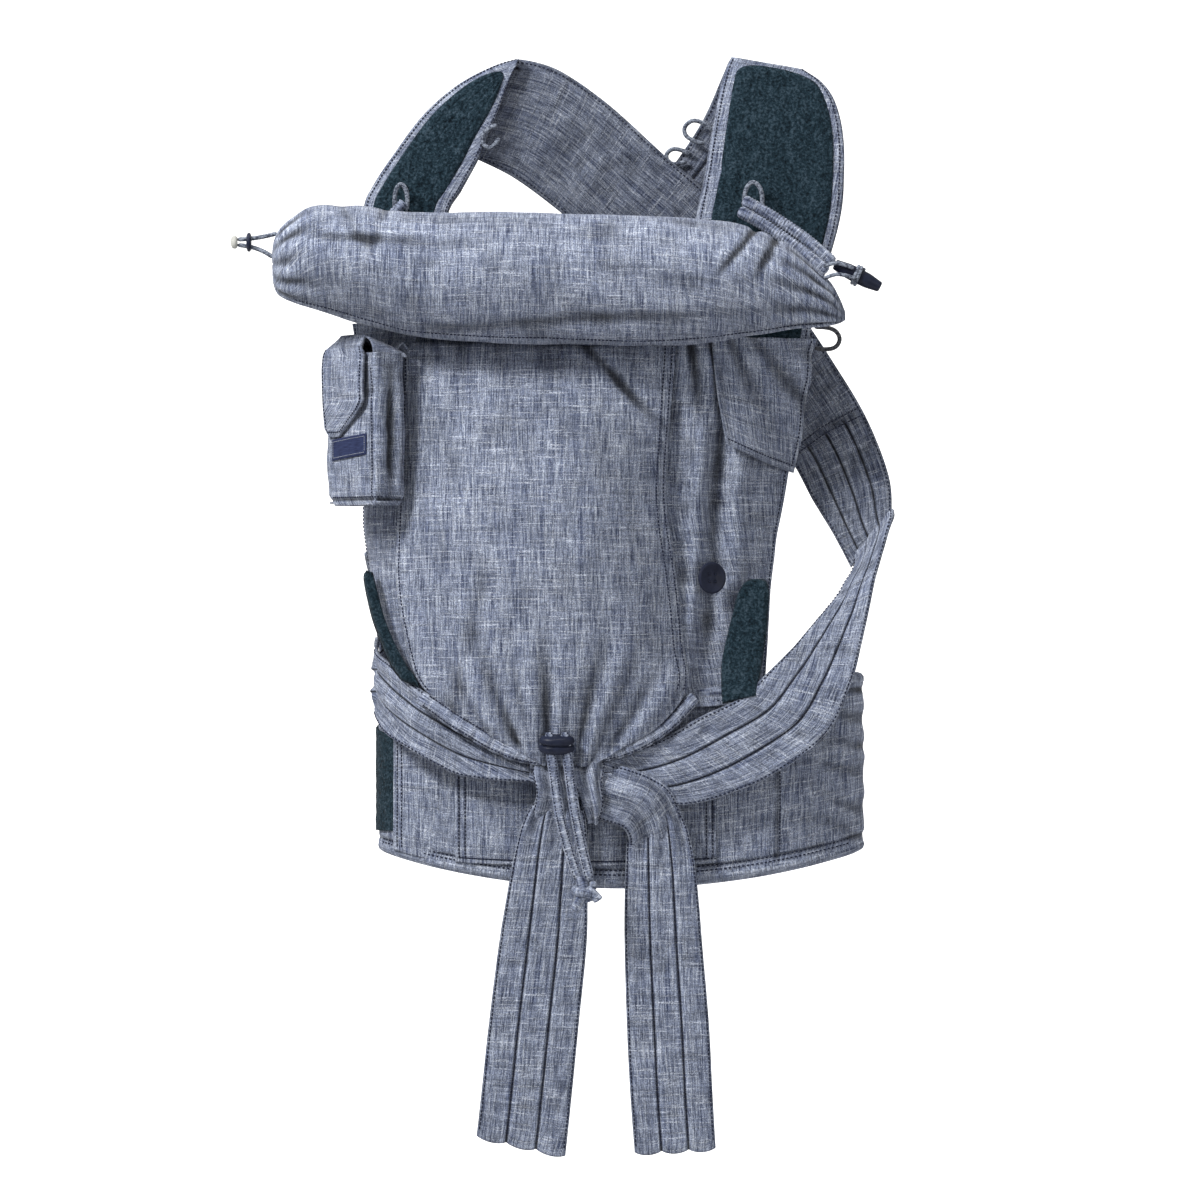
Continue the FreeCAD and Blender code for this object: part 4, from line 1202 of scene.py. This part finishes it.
def make_pouch():
    wall = PouchWall(pouch_wall_point, pouch_relief)
    shell = wall.mesh("pouch_wall_cloth", 150, 80, 1.8, CHAMBRAY, "pouch", wrap=True)
    stand_in(shell, "chambray", "pouch_shell")

    def floor_point(u, v):
        return from_pouch(-2.5 - (POUCH_W - 5) * u, 2.5 + (POUCH_D - 5) * v, 2.0)
    floor = Surface(floor_point, lambda u, v, p: 1.5 * math.sin(math.pi * u) * math.sin(math.pi * v),
                    outward=(0, 0, -1))
    floor.mesh("pouch_floor_cloth", 30, 14, 1.6, CHAMBRAY, "pouch")

    def flap_face(u, v):
        rounding = 1 - ease(v, 0.0, 0.22)
        near_edge = -11.0 - 14.0 * rounding - 40.0 * max(0.0, (v - 0.64) / 0.36) ** 1.3
        far_edge = -72.0 + 8.0 * rounding + 4.0 * ease(v, 0.9, 1.0)
        back = 10.0 * (1 - ease(v, 0.0, 0.16))
        puff = 5.0 * math.sin(math.pi * min(v * 1.02, 1)) ** 0.5
        return from_pouch(near_edge + (far_edge - near_edge) * u, -3.0 - puff + back,
                          POUCH_H + 17 - (FLAP_DROP + 24) * v)

    def flap_relief(u, v, p):
        return ripple(p, 22, 92.0) * 1.3 - 1.2 * (1 - min(1, 16 * u * (1 - u)))
    flap = Surface(flap_face, flap_relief, outward=OUT_OF_POUCH)
    piece = flap.mesh("pouch_flap_cloth", 50, 60, 2.2, CHAMBRAY, None)
    stand_in(piece, "chambray", "pouch_flap")
    hem = [(0.05, 0.12), (0.05, 0.68), (0.14, 0.95), (0.86, 0.95), (0.95, 0.68), (0.95, 0.12)]
    seam = seams("pouch_flap_seams", flap, [hem], 3.0, 2.1, body=None)
    for part in (piece, seam):
        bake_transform(part)

    def top_point(u, v):
        side = 1 - (2 * u - 1) ** 4
        narrow = 1 - 0.30 * v
        across = (POUCH_W + 2) * (0.5 - u) * narrow
        height = POUCH_H - 3.0 + (5.0 + 15.0 * v ** 0.7) * side ** 0.5
        return from_pouch(across - POUCH_W / 2, POUCH_D + 1 - (POUCH_D - 4.0) * v, height)
    top = Surface(top_point, lambda u, v, p: ripple(p, 20, 93.0) * 0.8, outward=(0, 0, 1))
    piece = top.mesh("pouch_top_cloth", 50, 24, 2.0, CHAMBRAY, "pouch")
    stand_in(piece, "chambray", "pouch_flap_root")
    for number, start in enumerate((-10.0, -53.0)):
        def hanger_point(u, v, start=start):
            return from_pouch(start - 12 * u, POUCH_D - 4 + 17 * v, POUCH_H + 1 + 9 * math.sin(math.pi * v))
        hanger = Surface(hanger_point, None, outward=(0, 0, 1))
        piece = hanger.mesh(f"pouch_hanger_tape_{number + 1}", 8, 20, 1.6, CHAMBRAY, "pouch")
    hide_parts("pouch_hanger_tabs")

    def label_point(u, v):
        return from_pouch(-POUCH_W / 2 + 25 - 50 * u, -1.4 - 1.9 * math.sin(math.pi * (0.15 + 0.7 * u)),
                          43 + 19 * v + 5 * (0.5 - u))
    label = Surface(label_point, None, outward=OUT_OF_POUCH)
    piece = label.mesh("pouch_label_cloth", 30, 12, 0.9, LABEL, "pouch")
    stand_in(piece, "label", "pouch_label")
    border = [(0.04, 0.12), (0.96, 0.12), (0.96, 0.88), (0.04, 0.88), (0.04, 0.12)]
    seams("pouch_label_border", label, [border], 1.6, 1.1, material=PALE_THREAD, body="pouch", radius=0.3)
    edges = [[(0.006 + 0.36 * i / 12, 0.055) for i in range(13)]]
    edges += [[(u, 0.05), (u, 0.9)] for u in (0.296, 0.5)]
    seams("pouch_wall_seams", wall, edges, 3.0, 1.9, body="pouch")


# ---------------------------------------------------------------- moulded fittings and casings
def paint(node, material):
    for slot in cad(node).material_slots:
        slot.material = material


def soften(node, name, material, body, width=0.0007, segments=3):
    """A hard fitting with small rounded edges, made from its CAD solid."""
    source = cad(node)
    piece = bpy.data.objects.new(name, source.data.copy())
    piece.data.transform(source.matrix_world)
    bpy.context.collection.objects.link(piece)
    piece.data.materials.clear()
    piece.data.materials.append(material)
    bm = bmesh.new()
    bm.from_mesh(piece.data)
    bmesh.ops.remove_doubles(bm, verts=bm.verts, dist=2e-5)
    bmesh.ops.dissolve_limit(bm, angle_limit=math.radians(2), verts=bm.verts, edges=bm.edges)
    bm.to_mesh(piece.data)
    bm.free()
    bevel = piece.modifiers.new("edges", "BEVEL")
    bevel.width = width
    bevel.segments = segments
    bevel.limit_method = "ANGLE"
    bevel.angle_limit = math.radians(35)
    apply_modifiers(piece)
    piece.data.set_sharp_from_angle(angle=math.radians(40))
    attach(piece, body)
    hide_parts(node)
    return piece


def make_fittings():
    for node, name, material, body, slot in (
            ("seat_width_button", "button_moulding", NAVY, "harness", "hardware"),
            ("roll_toggle", "toggle_moulding", NAVY, "roll_toggle", "hardware"),
            ("roll_cord_stop", "cord_stop_moulding", NAVY, "roll_cord_stop", "hardware"),
            ("roll_cord_end", "cord_end_moulding", PALE, "head_roll", "pale_hardware")):
        soften(node, name, material, body)
    make_cord_lock()
    paint("button_thread", THREAD)
    paint("pouch_closure_tape", TERRY)
    make_toggle_loop()
    make_casings()


LOCK_CENTRE = np.array([-38.5, -124.0, 33.0])
LOCK_PROFILE = [  # height, radius
    (8.2, 0.0), (8.2, 8.5), (7.6, 12.5), (6.0, 15.0), (3.4, 15.8), (1.8, 15.2), (1.0, 13.4),
    (0.0, 13.2), (-0.8, 15.2), (-3.0, 16.0), (-5.6, 15.4), (-7.2, 12.8), (-7.8, 8.0), (-7.8, 0.0)]


def make_cord_lock():
    """The two-part barrel that grips the seat drawcords, flattened front to back and leaning forward."""
    lean = math.radians(16)

    def point(u, v):
        z, radius = smooth_through(LOCK_PROFILE, v)
        turn = 2 * math.pi * u
        x, y = max(radius, 0.01) * math.cos(turn), 0.62 * max(radius, 0.01) * math.sin(turn)
        leaning = [x, y * math.cos(lean) - z * math.sin(lean), z * math.cos(lean) + y * math.sin(lean)]
        return LOCK_CENTRE + np.array(leaning)
    verts, faces = [], []
    sides, rings = 56, 60
    for j in range(rings):
        verts += [point(i / sides, j / (rings - 1)) * MM for i in range(sides)]
    for j in range(rings - 1):
        for i in range(sides):
            a, b = j * sides + i, j * sides + (i + 1) % sides
            faces.append((a, b, b + sides, a + sides))
    piece = mesh_piece("cord_lock_moulding", verts, faces, NAVY, "seat_cord_lock", weld=True)
    stand_in(piece, "hardware", "seat_cord_lock")


def make_toggle_loop():
    """Two turns of cord in the toggle's waist and the strands that hold it to the roll."""
    tilt = math.radians(27.0)
    along = Vector((math.cos(tilt), 0, -math.sin(tilt)))
    over = Vector((math.sin(tilt), 0, math.cos(tilt)))
    centre = Vector((0.231, -0.096, 0.453))
    turns = []
    for i in range(97):
        turn = 2 * math.pi * 2.0 * i / 96
        turns.append(centre + along * (0.0032 * (i / 96 - 0.5) * 1.8)
                     + (over * math.cos(turn) + Vector((0, -1, 0)) * math.sin(turn)) * 0.0082)
    wrap = tube("toggle_wrap", [tuple(p) for p in turns], 0.0032, 0.0032, BRAID, "roll_toggle", 0.03, 10)
    stand_in(wrap, "cord", "toggle_loop")
    strands = {
        "toggle_strand_upper": [(200, -101, 461), (208, -105, 464), (218, -107, 463), (227, -105.5, 459)],
        "toggle_strand_lower": [(201, -103, 450), (209, -107, 454), (219, -108.5, 453), (229, -105.5, 450)]}
    for name, route in strands.items():
        points = nurbs_points(in_metres(route))
        tube(name, points, 0.0036, 0.0036, BRAID, "roll_toggle", 0.03)


def make_casings():
    """The narrow fabric tunnels that carry the roll's cord along the hood's top corners."""
    routes = {
        "corner_casing_left": ([(-199, -26, 500), (-191, -27, 511), (-183, -26, 518),
                                (-178, -26, 524)], 0.0092),
        "corner_casing_right_upper": ([(130, -27, 526), (150, -27, 515), (172, -28, 501), (195, -30, 484),
                                       (212, -34, 468)], 0.0108),
        "corner_casing_right_lower": ([(126, -30, 516), (146, -31, 505), (168, -32, 490), (190, -34, 474),
                                       (206, -38, 460)], 0.0112)}
    for i, (name, (route, wide)) in enumerate(routes.items()):
        points = nurbs_points(in_metres(route), 24)
        piece = tube(name, points, wide, wide, CHAMBRAY, "harness", 0.09)
        if i == 0:
            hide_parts("corner_casings")


# ---------------------------------------------------------------- the scene
make_camera()
make_cords()
make_lights()
make_backdrop()
for make in (make_panel, make_wings, make_channel, make_hood_flap, make_roll, make_belt, make_straps,
             make_knot, make_tails, make_leg_pads, make_pouch, make_fittings):
    make()
